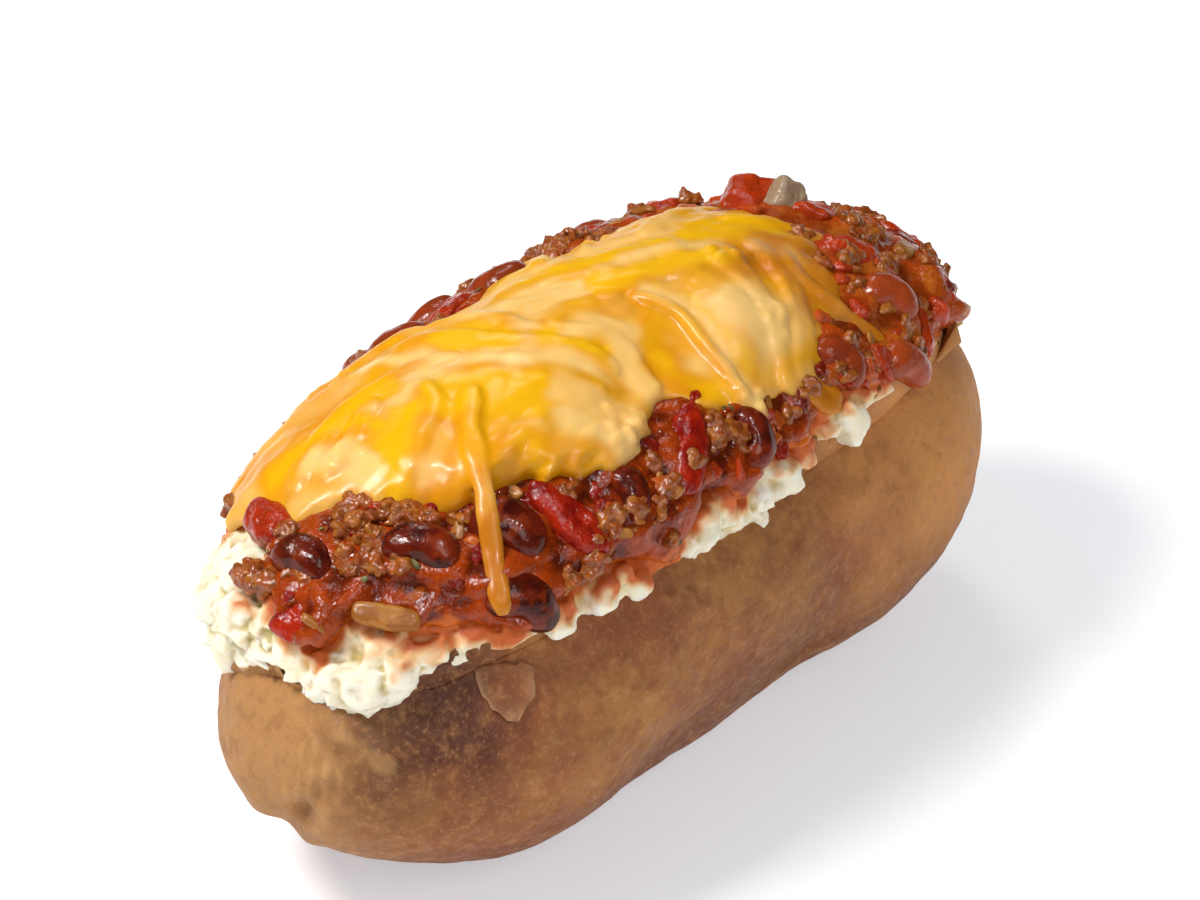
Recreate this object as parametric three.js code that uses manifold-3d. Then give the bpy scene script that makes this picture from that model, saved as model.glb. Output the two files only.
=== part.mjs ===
// Baked potato: a russet split open along its top, its flesh fluffed up out of the split and
// loaded with chili (sauce, beans, tomato, beef crumbles, onion) under a melted cheese blanket.
// Millimetres, +Z up, the long axis on X, the near end at -X. It rests on its flattened belly.
import * as THREE from 'three';
import { mergeVertices } from 'three/addons/utils/BufferGeometryUtils.js';
import Module from 'manifold-3d';

const wasm = await Module();
wasm.setup();

// ---------------------------------------------------------------- driving dimensions
const GAP = 0.4;               // clearance between neighbouring solids

const POTATO = {
  halfLength: 71.5,
  halfWidth: 33.5,
  halfHeight: 30.5,
  bluntness: 2.3,              // 2 is an ellipsoid, higher fills out the ends
  bellySink: 1.3,              // how far the belly is pressed flat to rest on
  endPush: 0.4,                // share of a swelling that also pushes the ends out
};

const LIP = { height: 49.5, endDrop: 6 };    // the torn lips, lower at both ends

const MOUND = {                // the fluffed flesh in and above the split
  halfLength: 65,
  halfWidth: 27.5,
  nearBluntness: 2.9,
  farBluntness: 2.7,
  slant: -0.05,                // its axis turns a little away from the potato's
  shift: 2.2,                  // and it lies a little to the back
  rise: 17,                    // above the lips
  depth: 22,                   // below the lips
  sideShare: 0.8,              // how much of a layer's thickness goes on at the sides
};

// What lies on the flesh: thickness, and how it thins to nothing over `fade` degrees of climb.
const CHILI = { thickness: 3.4, fade: 9 };
const CHEESE = { thickness: 3.0, fade: 8 };

const LAYER_ROOT = 0.3;        // how far a layer's edge dips under the surface, of its thickness

const GRID = { along: 26, around: 18 };      // facets of the large solids
const WELD = 1e-4;             // corners closer than this are one

// ---------------------------------------------------------------- small helpers
const { clamp, degToRad, smoothstep } = THREE.MathUtils;

// Random value of one lattice corner, -1 to 1.
function cornerValue(i, j, k) {
  const s = Math.sin(i * 127.1 + j * 311.7 + k * 74.7) * 43758.5453;
  return (s - Math.floor(s)) * 2 - 1;
}

// Smooth lattice noise, -1 to 1, with lumps of about the given size.
function lumps(p, size) {
  const at = [p.x, p.y, p.z].map((v) => v / size);
  const cell = at.map(Math.floor);
  const ease = at.map((v, n) => smoothstep(v - cell[n], 0, 1));
  let sum = 0;
  for (let corner = 0; corner < 8; corner += 1) {
    const step = [corner & 1, (corner >> 1) & 1, (corner >> 2) & 1];
    const weight = step.reduce((w, s, n) => w * (s ? ease[n] : 1 - ease[n]), 1);
    sum += weight * cornerValue(cell[0] + step[0], cell[1] + step[1], cell[2] + step[2]);
  }
  return sum;
}

// A bump of height 1 that fades out at `reach` from its centre.
function bump(p, centre, reach) {
  return Math.exp(-p.distanceToSquared(new THREE.Vector3(...centre)) / (reach * reach));
}

// How far a direction reaches on a ball whose ends are filled out by the given bluntness.
function reachOf(d, bluntness) {
  const round = Math.hypot(d.y, d.z);
  return (Math.abs(d.x) ** bluntness + round ** bluntness) ** (-1 / bluntness);
}

// Ball of facets with its poles on X, each point moved by place(direction).
function ballSolid(place, along = GRID.along, around = GRID.around) {
  const geometry = new THREE.SphereGeometry(1, around, along);
  geometry.rotateZ(-Math.PI / 2);
  geometry.deleteAttribute('normal');
  geometry.deleteAttribute('uv');
  const ball = mergeVertices(geometry, WELD);
  const position = ball.attributes.position;
  const d = new THREE.Vector3();
  for (let n = 0; n < position.count; n += 1) {
    d.fromBufferAttribute(position, n).normalize();
    const p = place(d);
    position.setXYZ(n, p.x, p.y, p.z);
  }
  return toSolid(ball);
}

function toSolid(geometry) {
  const vertProperties = new Float32Array(geometry.attributes.position.array);
  const triVerts = new Uint32Array(geometry.index.array);
  return new wasm.Manifold(new wasm.Mesh({ numProp: 3, vertProperties, triVerts }));
}

function toGeometry(solid) {
  const mesh = solid.getMesh();
  const geometry = new THREE.BufferGeometry();
  geometry.setAttribute('position', new THREE.BufferAttribute(mesh.vertProperties, 3));
  geometry.setIndex(new THREE.BufferAttribute(mesh.triVerts, 1));
  geometry.computeVertexNormals();
  return geometry;
}

// The largest piece of a cut, without the slivers that a grazing cut leaves.
function largest(solid) {
  return solid.decompose().reduce((best, one) => (one.volume() > best.volume() ? one : best));
}

// ---------------------------------------------------------------- potato
// Where the tuber swells (push out) or draws in, each fading out over its reach.
const SWELLINGS = [
  { at: [14, -33, 14], reach: 20, push: -3.8 },     // waist
  { at: [-15, -33, 16], reach: 16, push: -4.2 },
  { at: [54, -26, 24], reach: 28, push: 4.0 },      // far end
  { at: [30, -30, 14], reach: 12, push: 1.9 },
  { at: [-30, -30, 20], reach: 22, push: -0.7 },
  { at: [-62, -12, 15], reach: 16, push: -1.8 },    // near end, two lobes and a notch
  { at: [-62, 6, 10], reach: 9, push: -3.4 },
  { at: [-58, 20, 14], reach: 14, push: 2.2 },
  { at: [6, 32, 20], reach: 22, push: -1.8 },       // back
  { at: [-34, 30, 16], reach: 18, push: 1.4 },
  { at: [40, 28, 22], reach: 20, push: 1.2 },
];

const SKIN_RELIEF = { height: 0.5, size: 15 };

function potatoPoint(d, grow) {
  const k = reachOf(d, POTATO.bluntness);
  const p = new THREE.Vector3(
    POTATO.halfLength * d.x * k,
    POTATO.halfWidth * d.y * k,
    POTATO.halfHeight * d.z * k + POTATO.halfHeight - POTATO.bellySink,
  );
  const out = new THREE.Vector3(d.x * POTATO.endPush, d.y, d.z).normalize();
  const push = SWELLINGS.reduce((sum, s) => sum + s.push * bump(p, s.at, s.reach), 0);
  p.addScaledVector(out, push + grow + SKIN_RELIEF.height * lumps(p, SKIN_RELIEF.size));
  p.z = Math.max(p.z, 0);
  return p;
}

// ---------------------------------------------------------------- the mound and its layers
// A place on the mound is given by two angles in degrees: `around`, seen from above, with 0 at
// the far end, -90 at the front and 180 at the near end; and `climb`, 0 at the lips, 90 on top.
function directionAt(around, climb) {
  const a = degToRad(around);
  const c = degToRad(climb);
  return new THREE.Vector3(Math.cos(c) * Math.cos(a), Math.cos(c) * Math.sin(a), Math.sin(c));
}

function anglesOf(d) {
  const around = THREE.MathUtils.radToDeg(Math.atan2(d.y, d.x));
  const climb = THREE.MathUtils.radToDeg(Math.asin(clamp(d.z, -1, 1)));
  return { around, climb };
}

// Two humps on the crest with a saddle between them.
const HUMPS = [
  { at: [-24, 0, 66], reach: 24, push: 1.6 },
  { at: [2, -8, 66], reach: 12, push: -1.6 },
  { at: [26, 2, 66], reach: 20, push: 1.4 },
];

function moundPoint(d, layer) {
  const k = reachOf(d, d.x < 0 ? MOUND.nearBluntness : MOUND.farBluntness);
  const side = layer * MOUND.sideShare;
  const x = (MOUND.halfLength + side) * d.x * k;
  const y = (MOUND.halfWidth + side) * d.y * k + MOUND.shift + MOUND.slant * x;
  const lip = LIP.height - LIP.endDrop * (x / MOUND.halfLength) ** 2;
  const height = (d.z > 0 ? MOUND.rise : MOUND.depth) + layer;
  const p = new THREE.Vector3(x, y, lip + height * d.z * k);
  if (d.z > 0) p.z += d.z * HUMPS.reduce((sum, h) => sum + h.push * bump(p, h.at, h.reach), 0);
  return p;
}

// Value at an angle round the mound, eased between [angle, value] stations.
function edgeAt(stations, around) {
  const count = stations.length;
  let next = stations.findIndex(([angle]) => angle > around);
  if (next < 0) next = 0;
  const last = (next + count - 1) % count;
  const [fromAngle, from] = stations[last];
  const [toAngle, to] = stations[next];
  const span = (toAngle - fromAngle + 360) % 360;
  return from + (to - from) * smoothstep((around - fromAngle + 360) % 360, 0, span);
}

// Climb at which the sauce ends: tongues run down between the pieces.
const CHILI_EDGE = [
  [-171, 24], [-162, 32], [-144, 28], [-126, 8], [-116, 18], [-103, 6], [-96, 22], [-90, 6],
  [-78, 24], [-67, 24], [-60, 15], [-50, 12], [-42, 11], [-25, 6], [5, 10], [30, 22], [52, 12],
  [74, 26], [96, 14], [118, 16], [132, 8], [140, 16], [150, 33], [160, 34], [170, 26],
];

// Climb at which the cheese ends.
const CHEESE_EDGE = [
  [-166, 50], [-140, 47], [-124, 46], [-114, 39], [-98, 51], [-84, 35], [-73, 36], [-65, 28],
  [-56, 42], [-35, 48], [-5, 55], [25, 46], [50, 50], [68, 56], [82, 40], [98, 53], [108, 52],
  [118, 28], [130, 20], [142, 26], [156, 38],
];

// Thickness of a layer: full above its edge, tapering through the surface below just under it.
function layerAt(d, layer, stations) {
  const { around, climb } = anglesOf(d);
  const share = (climb - edgeAt(stations, around)) / layer.fade;
  return layer.thickness * clamp(share, -LAYER_ROOT, 1);
}

// Unevenness of the fluffed flesh: full where it is bare, gone at the climb it is covered from.
const CRUMBLE = { height: 1.5, size: 6.5, girth: 40, bareTo: 20, coveredFrom: 45 };

function fleshOffset(d) {
  const { climb } = anglesOf(d);
  const bare = 1 - smoothstep(climb, CRUMBLE.bareTo, CRUMBLE.coveredFrom);
  return CRUMBLE.height * bare * lumps(d.clone().multiplyScalar(CRUMBLE.girth), CRUMBLE.size);
}

function fleshPoint(d, grow) {
  return moundPoint(d, fleshOffset(d) + grow);
}

function chiliPoint(d, grow) {
  return moundPoint(d, fleshOffset(d) + layerAt(d, CHILI, CHILI_EDGE) + grow);
}

function cheesePoint(d) {
  const chili = Math.max(layerAt(d, CHILI, CHILI_EDGE), 0);
  return moundPoint(d, fleshOffset(d) + chili + layerAt(d, CHEESE, CHEESE_EDGE));
}

// Half-melted shreds that stand out of the blanket or run down from it: where each passes, as
// [around, climb], and its width.
const SHREDS = [
  { path: [[-173, 61], [-153, 53], [-142, 44], [-137, 32], [-136, 23]], width: 3.4 },
  { path: [[-9, 78], [-67, 69], [-78, 55], [-81, 43]], width: 3.6 },
  { path: [[112, 44], [130, 66], [163, 80], [-120, 79]], width: 3.4 },
  { path: [[90, 60], [64, 70], [29, 71], [3, 64]], width: 3.2 },
  { path: [[-26, 50], [-45, 47], [-61, 40], [-72, 33]], width: 3 },
  { path: [[158, 60], [174, 55], [-174, 50]], width: 3.2 },
];

const SHRED_FACETS = { sides: 4, steps: 5 };
const SHRED_SUNK = 0.2;        // how deep its middle sits in the blanket, as a share of its width

function shredSolid({ path, width }) {
  const lift = CHILI.thickness + CHEESE.thickness - width * SHRED_SUNK;
  const points = path.map(([around, climb]) => moundPoint(directionAt(around, climb), lift));
  const section = new THREE.Shape();
  section.absarc(0, 0, width / 2, 0, Math.PI * 2);
  const geometry = new THREE.ExtrudeGeometry(section, {
    steps: SHRED_FACETS.steps,
    curveSegments: SHRED_FACETS.sides,
    bevelEnabled: false,
    extrudePath: new THREE.CatmullRomCurve3(points),
  });
  geometry.deleteAttribute('normal');
  geometry.deleteAttribute('uv');
  return toSolid(mergeVertices(geometry, WELD));
}

// ---------------------------------------------------------------- pieces of the chili
// Each lies at [around, climb] on the mound, with its length, width and thickness in mm, turned
// in the surface by `turn` degrees, 0 with its length level.
const BEANS = [
  { at: [179, 39], size: [9.5, 6.6, 6], turn: 4 },
  { at: [-151, 42], size: [11, 7.2, 6.4], turn: -25 },
  { at: [-133, 40], size: [11.5, 8, 7], turn: -50 },
  { at: [-128, 21], size: [11.5, 7.6, 6.6], turn: -45 },
  { at: [-111, 33], size: [10, 6.4, 6], turn: -112 },
  { at: [-87, 29], size: [9.5, 6.2, 6], turn: -108 },
  { at: [-65, 33], size: [9.5, 6.4, 6], turn: -67 },
  { at: [-57, 18], size: [10.5, 6.4, 6], turn: -40 },
  { at: [-44, 36], size: [10, 7, 6.6], turn: -60 },
  { at: [108, 43], size: [10, 6.6, 6], turn: -30 },
  { at: [84, 46], size: [10, 6.6, 6], turn: -30 },
  { at: [104, 20], size: [10.5, 7, 6.4], turn: 50 },
  { at: [62, 28], size: [10, 6.8, 6], turn: 15 },
  { at: [36, 20], size: [10.5, 7, 6.4], turn: 80 },
  { at: [94, 33], size: [10, 6.6, 6], turn: -20 },
  { at: [50, 12], size: [10.5, 6.8, 6], turn: -20 },
];

const TOMATOES = [
  { at: [159, 38], size: [9, 6.4, 5], turn: 26 },
  { at: [-171, 28], size: [9, 6, 4], turn: 39 },
  { at: [-122, 36], size: [13.5, 5.6, 5], turn: -64 },
  { at: [-99, 36], size: [14.5, 6, 5], turn: -130 },
  { at: [5, 47], size: [8, 5, 4.4], turn: 8 },
  { at: [25, 45], size: [10, 6.6, 6.4], turn: 20 },
  { at: [-27, 47], size: [7.5, 5, 4.4], turn: -80 },
  { at: [-34, 22], size: [9, 5.4, 4.6], turn: -65 },
  { at: [97, 47], size: [9, 5.5, 4.6], turn: 5 },
  { at: [72, 12], size: [9.5, 6, 4.6], turn: -40 },
  { at: [48, 36], size: [9, 6, 5], turn: 60 },
  { at: [-6, 25], size: [9, 6, 5], turn: 30 },
  { at: [89, 11], size: [9, 5.6, 4.6], turn: 15 },
  { at: [114, 10], size: [8.5, 6, 4.8], turn: 20 },
];

const BEEF = [
  { at: [-169, 45], size: [9, 8, 6.4], turn: -34 },
  { at: [-160, 48], size: [7, 5.4, 5], turn: -30 },
  { at: [-9, 43], size: [8, 6.4, 5.4], turn: 30 },
  { at: [67, 51], size: [10.5, 7.6, 7], turn: 15 },
  { at: [168, 31], size: [6.5, 5, 4], turn: -5 },
  { at: [84, 27], size: [9, 7, 5.4], turn: -20 },
  { at: [12, 24], size: [9, 7, 5.4], turn: 40 },
  { at: [-18, 13], size: [8, 6, 5], turn: 15 },
  { at: [72, 37], size: [9, 7, 5.6], turn: 40 },
  { at: [28, 33], size: [8.5, 7, 5.6], turn: -15 },
];

const ONIONS = [
  { at: [-152, 29], size: [9.5, 3.4, 3.2], turn: -19 },
  { at: [14, 47], size: [7.4, 5, 4.6], turn: 30 },
  { at: [-20, 33], size: [7, 3.6, 3.2], turn: -28 },
  { at: [94, 21], size: [8, 3.6, 3.2], turn: 25 },
  { at: [57, 45], size: [7.4, 3.8, 3.4], turn: -35 },
];

// How deep each kind sits in the sauce, as a share of its thickness.
const SUNK = 0.42;

// Frame on the sauce: X level, Y up the slope, Z out.
function layingFrame(piece) {
  const [around, climb] = piece.at;
  const pointAt = (a, c) => moundPoint(directionAt(a, c), CHILI.thickness);
  const origin = pointAt(around, climb);
  const level = pointAt(around + 1, climb).sub(origin).normalize();
  const slope = pointAt(around, climb + 1).sub(origin).normalize();
  const out = new THREE.Vector3().crossVectors(level, slope).normalize();
  slope.crossVectors(out, level);
  const raised = origin.addScaledVector(out, piece.size[2] * (0.5 - SUNK));
  const frame = new THREE.Matrix4().makeBasis(level, slope, out).setPosition(raised);
  return frame.multiply(new THREE.Matrix4().makeRotationZ(degToRad(piece.turn)));
}

function laidSolid(piece, grow, shape, along, around) {
  const frame = layingFrame(piece);
  const half = piece.size.map((s) => s / 2 + grow);
  const seed = piece.size[0] * 9 + piece.turn;
  return ballSolid((d) => shape(d, half, seed).applyMatrix4(frame), along, around);
}

// The ends of a bean bend down by `curve` and its middle up by `arch`, as shares of its half length.
const BEAN = { bluntness: 2.4, curve: 0.2, arch: 0.06 };

function beanShape(d, [length, width, thickness]) {
  const k = reachOf(d, BEAN.bluntness);
  const p = new THREE.Vector3(d.x * k * length, d.y * k * width, d.z * k * thickness);
  p.y += length * (BEAN.arch - BEAN.curve * (p.x / length) ** 2);
  return p;
}

const DICE_LUMP = 0.8;         // size of the unevenness of a diced piece, as a share of its half

// Diced and crumbled pieces: blocky or lumpy balls, no two alike.
function dicedShape(squareness, unevenness) {
  return (d, half, seed) => {
    const power = ['x', 'y', 'z'].reduce((sum, axis) => sum + Math.abs(d[axis]) ** squareness, 0);
    const k = power ** (-1 / squareness);
    const uneven = 1 + unevenness * lumps(new THREE.Vector3(d.x + seed, d.y, d.z), DICE_LUMP);
    return new THREE.Vector3(d.x * half[0], d.y * half[1], d.z * half[2]).multiplyScalar(k * uneven);
  };
}

const KINDS = [
  { name: 'bean', list: BEANS, shape: beanShape, facets: [6, 6], color: 0x5e1a16, roughness: 0.2 },
  { name: 'tomato', list: TOMATOES, shape: dicedShape(3, 0.12), facets: [5, 5], color: 0xb3241a,
    roughness: 0.2 },
  { name: 'beef', list: BEEF, shape: dicedShape(2.2, 0.25), facets: [5, 5], color: 0x7d4420,
    roughness: 0.5 },
  { name: 'onion', list: ONIONS, shape: dicedShape(3.4, 0.08), facets: [5, 5], color: 0xa9753a,
    roughness: 0.3 },
];

// ---------------------------------------------------------------- assembly
const model = new THREE.Group();

function addPart(name, solid, { color, roughness }) {
  const material = new THREE.MeshStandardMaterial({ color, roughness, metalness: 0 });
  const mesh = new THREE.Mesh(toGeometry(solid), material);
  mesh.name = name;
  model.add(mesh);
}

const body = ballSolid((d) => potatoPoint(d, 0));
const bodyPocket = ballSolid((d) => potatoPoint(d, GAP));
const flesh = ballSolid((d) => fleshPoint(d, 0));
const fleshPocket = ballSolid((d) => fleshPoint(d, GAP));
const chili = ballSolid((d) => chiliPoint(d, 0));
const chiliPocket = ballSolid((d) => chiliPoint(d, GAP));
const cheese = ballSolid(cheesePoint);

// The pieces first. Each gives way to the potato and to those already laid, and the layers give
// way to them all.
let taken = null;
for (const kind of KINDS) {
  kind.list.forEach((piece, n) => {
    const whole = laidSolid(piece, 0, kind.shape, ...kind.facets).subtract(bodyPocket);
    const pocket = laidSolid(piece, GAP, kind.shape, ...kind.facets);
    addPart(`${kind.name}_${n + 1}`, largest(taken ? whole.subtract(taken) : whole), kind);
    taken = taken ? taken.add(pocket) : pocket;
  });
}

const potato = body.subtract(fleshPocket);
const sauce = chili.subtract(fleshPocket.add(bodyPocket).add(taken));
const blanket = SHREDS.reduce((solid, shred) => solid.add(shredSolid(shred)), cheese);
const below = chiliPocket.add(fleshPocket).add(bodyPocket).add(taken);
const melt = blanket.subtract(below);

addPart('potato', largest(potato), { color: 0xa8763f, roughness: 0.7 });
addPart('flesh', largest(flesh.subtract(taken)), { color: 0xe9dfc4, roughness: 0.8 });
addPart('chili', largest(sauce), { color: 0xa8421c, roughness: 0.25 });
addPart('cheese', largest(melt), { color: 0xf0b828, roughness: 0.35 });

// The origin is the middle of the whole, on the surface it stands on.
const box = new THREE.Box3().setFromObject(model);
const middle = box.getCenter(new THREE.Vector3());
model.position.set(-middle.x, -middle.y, -box.min.z);
model.updateMatrixWorld(true);

export default model;
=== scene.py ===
"""The looks of a baked potato, split and heaped with chili under melted cheese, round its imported
CAD model.

Shapes are worked out in millimetres in the potato's own frame, the one its CAD formulas use. A
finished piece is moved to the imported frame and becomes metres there.
"""

import math
import random

import bmesh
import bpy
import numpy as np
from mathutils import Matrix, Vector, noise
from mathutils.bvhtree import BVHTree
from mathutils.kdtree import KDTree


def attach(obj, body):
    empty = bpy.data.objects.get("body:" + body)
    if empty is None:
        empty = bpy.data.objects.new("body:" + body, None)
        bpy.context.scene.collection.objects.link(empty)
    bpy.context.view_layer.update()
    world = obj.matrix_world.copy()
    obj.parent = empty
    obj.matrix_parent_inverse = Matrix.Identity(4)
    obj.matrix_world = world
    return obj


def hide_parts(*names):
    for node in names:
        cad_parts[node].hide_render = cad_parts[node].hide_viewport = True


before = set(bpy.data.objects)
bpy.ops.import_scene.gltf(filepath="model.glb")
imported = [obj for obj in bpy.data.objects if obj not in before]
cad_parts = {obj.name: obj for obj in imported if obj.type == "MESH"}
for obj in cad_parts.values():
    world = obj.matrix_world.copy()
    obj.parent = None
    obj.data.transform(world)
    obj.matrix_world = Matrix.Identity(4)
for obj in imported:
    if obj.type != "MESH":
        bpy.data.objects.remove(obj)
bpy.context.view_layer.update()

MM = 0.001
HOME = Vector((-0.582, -1.442, 0.0))  # from the potato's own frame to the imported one


# ---------------------------------------------------------------- the form, as the CAD has it
POTATO_HALF = (71.5, 33.5, 30.5)
POTATO_BLUNT = 2.3
BELLY_SINK = 1.3
POTATO_MIDDLE = Vector((0, 0, POTATO_HALF[2] - BELLY_SINK))
END_LEAN = 0.4

# Where the tuber swells or draws in: centre, reach, push.
SWELLINGS = [
    ((14, -33, 14), 20, -3.8), ((-15, -33, 16), 16, -4.2), ((54, -26, 24), 28, 4.0),
    ((30, -30, 14), 12, 1.9), ((-30, -30, 20), 22, -0.7), ((-62, -12, 15), 16, -1.8),
    ((-62, 6, 10), 9, -3.4), ((-58, 20, 14), 14, 2.2), ((6, 32, 20), 22, -1.8),
    ((-34, 30, 16), 18, 1.4), ((40, 28, 22), 20, 1.2),
]

MOUND_HALF = (65, 27.5)
MOUND_BLUNT = {"near": 2.9, "far": 2.7}
MOUND_SHIFT = 2.2
MOUND_SLANT = -0.05
MOUND_RISE = 17
MOUND_DEPTH = 22
LIP_HEIGHT = 49.5
LIP_END_DROP = 6
HUMPS = [((-24, 0, 66), 24, 1.6), ((2, -8, 66), 12, -1.6), ((26, 2, 66), 20, 1.4)]

CHILI = 3.4  # thickness of the sauce
CHEESE = 3.0
CHEESE_TOP = CHILI + CHEESE
LAYER_SIDE = 0.8  # how thick a layer lies at the lips, as a share of its thickness on top

NOISE_TO_ONE = 1.6  # the noise seldom passes 0.6
EDGE_ROUND = 40  # radius of the circle on which the edges' noise is read

# Climb at which the cheese ends, by angle round the mound.
CHEESE_EDGE = [
    (-166, 50), (-140, 47), (-124, 46), (-114, 39), (-98, 51), (-84, 35), (-73, 36), (-65, 28),
    (-57, 39), (-44, 46), (-24, 52), (5, 53), (25, 52), (50, 48), (68, 56), (82, 40), (98, 53),
    (108, 52), (118, 28), (130, 20), (142, 26), (156, 38),
]


def clamp(value, low=0.0, high=1.0):
    return max(low, min(high, value))


def ease(value, low, high):
    """0 at low, 1 at high, smooth between."""
    t = clamp((value - low) / (high - low))
    return t * t * (3 - 2 * t)


def bump(p, centre, reach):
    return math.exp(-((p - Vector(centre)).length_squared) / (reach * reach))


def reach_of(d, bluntness):
    """How far a direction reaches on a ball with filled-out ends."""
    return (abs(d.x) ** bluntness + math.hypot(d.y, d.z) ** bluntness) ** (-1 / bluntness)


def potato_out(d):
    """The way out of the skin, which leans less toward the ends than the direction does."""
    return Vector((d.x * END_LEAN, d.y, d.z)).normalized()


def potato_point(d):
    k = reach_of(d, POTATO_BLUNT)
    p = Vector((POTATO_HALF[0] * d.x * k, POTATO_HALF[1] * d.y * k, POTATO_HALF[2] * d.z * k))
    p += POTATO_MIDDLE
    push = sum(s[2] * bump(p, s[0], s[1]) for s in SWELLINGS)
    return p + potato_out(d) * push


def direction_at(around, climb):
    a, c = math.radians(around), math.radians(climb)
    return Vector((math.cos(c) * math.cos(a), math.cos(c) * math.sin(a), math.sin(c)))


def angles_of(d):
    return math.degrees(math.atan2(d.y, d.x)), math.degrees(math.asin(clamp(d.z, -1, 1)))


def lip_height(x):
    return LIP_HEIGHT - LIP_END_DROP * (x / MOUND_HALF[0]) ** 2


def mound_point(d, layer=0.0):
    k = reach_of(d, MOUND_BLUNT["near"] if d.x < 0 else MOUND_BLUNT["far"])
    side = layer * LAYER_SIDE
    x = (MOUND_HALF[0] + side) * d.x * k
    y = (MOUND_HALF[1] + side) * d.y * k + MOUND_SHIFT + MOUND_SLANT * x
    height = (MOUND_RISE if d.z > 0 else MOUND_DEPTH) + layer
    p = Vector((x, y, lip_height(x) + height * d.z * k))
    if d.z > 0:
        p.z += d.z * sum(h[2] * bump(p, h[0], h[1]) for h in HUMPS)
    return p


def mound_at(around, climb, layer=0.0):
    """The mound's surface, or that of a layer on it, at a place on the mound."""
    return mound_point(direction_at(around, climb), layer)


def mound_angles(p):
    """The place on the mound that a point stands over, as (around, climb)."""
    rise = p.z - lip_height(p.x)
    u = p.x / MOUND_HALF[0]
    v = (p.y - MOUND_SHIFT - MOUND_SLANT * p.x) / MOUND_HALF[1]
    w = rise / (MOUND_RISE if rise > 0 else MOUND_DEPTH)
    return angles_of(Vector((u, v, w)).normalized())


def frame_on(origin, level, out):
    """Frame with the given origin, X and Z."""
    placed = Matrix((level, out.cross(level), out)).transposed().to_4x4()
    placed.translation = origin
    return placed


def mound_frame(around, climb, layer):
    """Frame on a layer of the mound: X level, Y up the slope, Z out."""
    origin = mound_at(around, climb, layer)
    level = (mound_at(around + 1, climb, layer) - origin).normalized()
    slope = (mound_at(around, climb + 1, layer) - origin).normalized()
    return frame_on(origin, level, level.cross(slope).normalized())


def mound_depths(x, y, layer):
    """Lowest and highest point of the mound over a place, or None beside it."""
    blunt = MOUND_BLUNT["near"] if x < 0 else MOUND_BLUNT["far"]
    side = layer * LAYER_SIDE
    u = abs(x) / (MOUND_HALF[0] + side)
    v = (y - MOUND_SHIFT - MOUND_SLANT * x) / (MOUND_HALF[1] + side)
    if u >= 1:
        return None
    w = (1 - u**blunt) ** (2 / blunt) - v * v
    if w <= 0:
        return None
    lip, part = lip_height(x), math.sqrt(w)
    return lip - (MOUND_DEPTH + layer) * part, lip + (MOUND_RISE + layer) * part


def edge_at(stations, around):
    """Value at an angle, eased between (angle, value) stations."""
    following = next((n for n, s in enumerate(stations) if s[0] > around), 0)
    (a0, v0), (a1, v1) = stations[following - 1], stations[following]
    return v0 + (v1 - v0) * ease((around - a0) % 360, 0, (a1 - a0) % 360)


def wave(p, size, seed=0.0):
    """Smooth noise, about -1 to 1, with lumps of the given size."""
    place = Vector((p.x / size + seed, p.y / size - seed, p.z / size + 2 * seed))
    return noise.noise(place) * NOISE_TO_ONE


def ragged_edge(stations, around, *waves):
    """Climb of an edge at an angle, its stations made ragged by waves of (climb, size, seed)."""
    p = direction_at(around, 0) * EDGE_ROUND
    climb = edge_at(stations, around)
    for rise, size, seed in waves:
        climb += rise * wave(p, size, seed)
    return climb


# ---------------------------------------------------------------- meshes
def ball(fineness, place):
    """Closed ball of small triangles, each corner moved to place(direction)."""
    bm = bmesh.new()
    bmesh.ops.create_icosphere(bm, subdivisions=fineness, radius=1)
    for v in bm.verts:
        v.co = place(v.co.normalized())
    return bm


def fused(bm, grain, smoothing, kept=1.0):
    """What bm holds, melted into one skin of even faces, of which a share is kept where they
    matter. The first value of the grain is their size; the second is not used."""
    mesh = to_mesh(bm)
    lump = bpy.data.objects.new("fused", mesh)
    bpy.context.scene.collection.objects.link(lump)
    remesh = lump.modifiers.new("fuse", "REMESH")
    remesh.mode = "VOXEL"
    remesh.voxel_size = grain[0]
    melt = lump.modifiers.new("melt", "SMOOTH")
    melt.factor = 0.5
    melt.iterations = smoothing
    if kept < 1:
        thin_out = lump.modifiers.new("thin out", "DECIMATE")
        thin_out.ratio = kept
    seen = lump.evaluated_get(bpy.context.evaluated_depsgraph_get())
    baked = bpy.data.meshes.new_from_object(seen)
    bpy.data.objects.remove(lump)
    baked.validate()
    return baked


def random_axis(rng, spread=1.0):
    return Vector([rng.gauss(0, spread) for _ in range(3)])


def random_turn(rng, spread):
    axis = random_axis(rng)
    return Matrix.Rotation(rng.gauss(0, spread), 4, axis)


def add_bead(bm, placed, half):
    """Adds a ball of a few dozen faces, stretched to the given half sizes."""
    shape = placed @ Matrix.Diagonal((*half, 1))
    bmesh.ops.create_icosphere(bm, subdivisions=2, radius=1, matrix=shape)


def to_mesh(bm):
    mesh = bpy.data.meshes.new("piece")
    bm.to_mesh(mesh)
    bm.free()
    return mesh


def to_bmesh(mesh):
    bm = bmesh.new()
    bm.from_mesh(mesh)
    return bm


def corners(mesh):
    found = np.empty(len(mesh.vertices) * 3)
    mesh.vertices.foreach_get("co", found)
    return found.reshape(-1, 3)


def set_corners(mesh, places):
    mesh.vertices.foreach_set("co", places.ravel())
    mesh.update()


def outwards(mesh):
    found = np.empty(len(mesh.vertices) * 3)
    mesh.vertex_normals.foreach_get("vector", found)
    return found.reshape(-1, 3)


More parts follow.
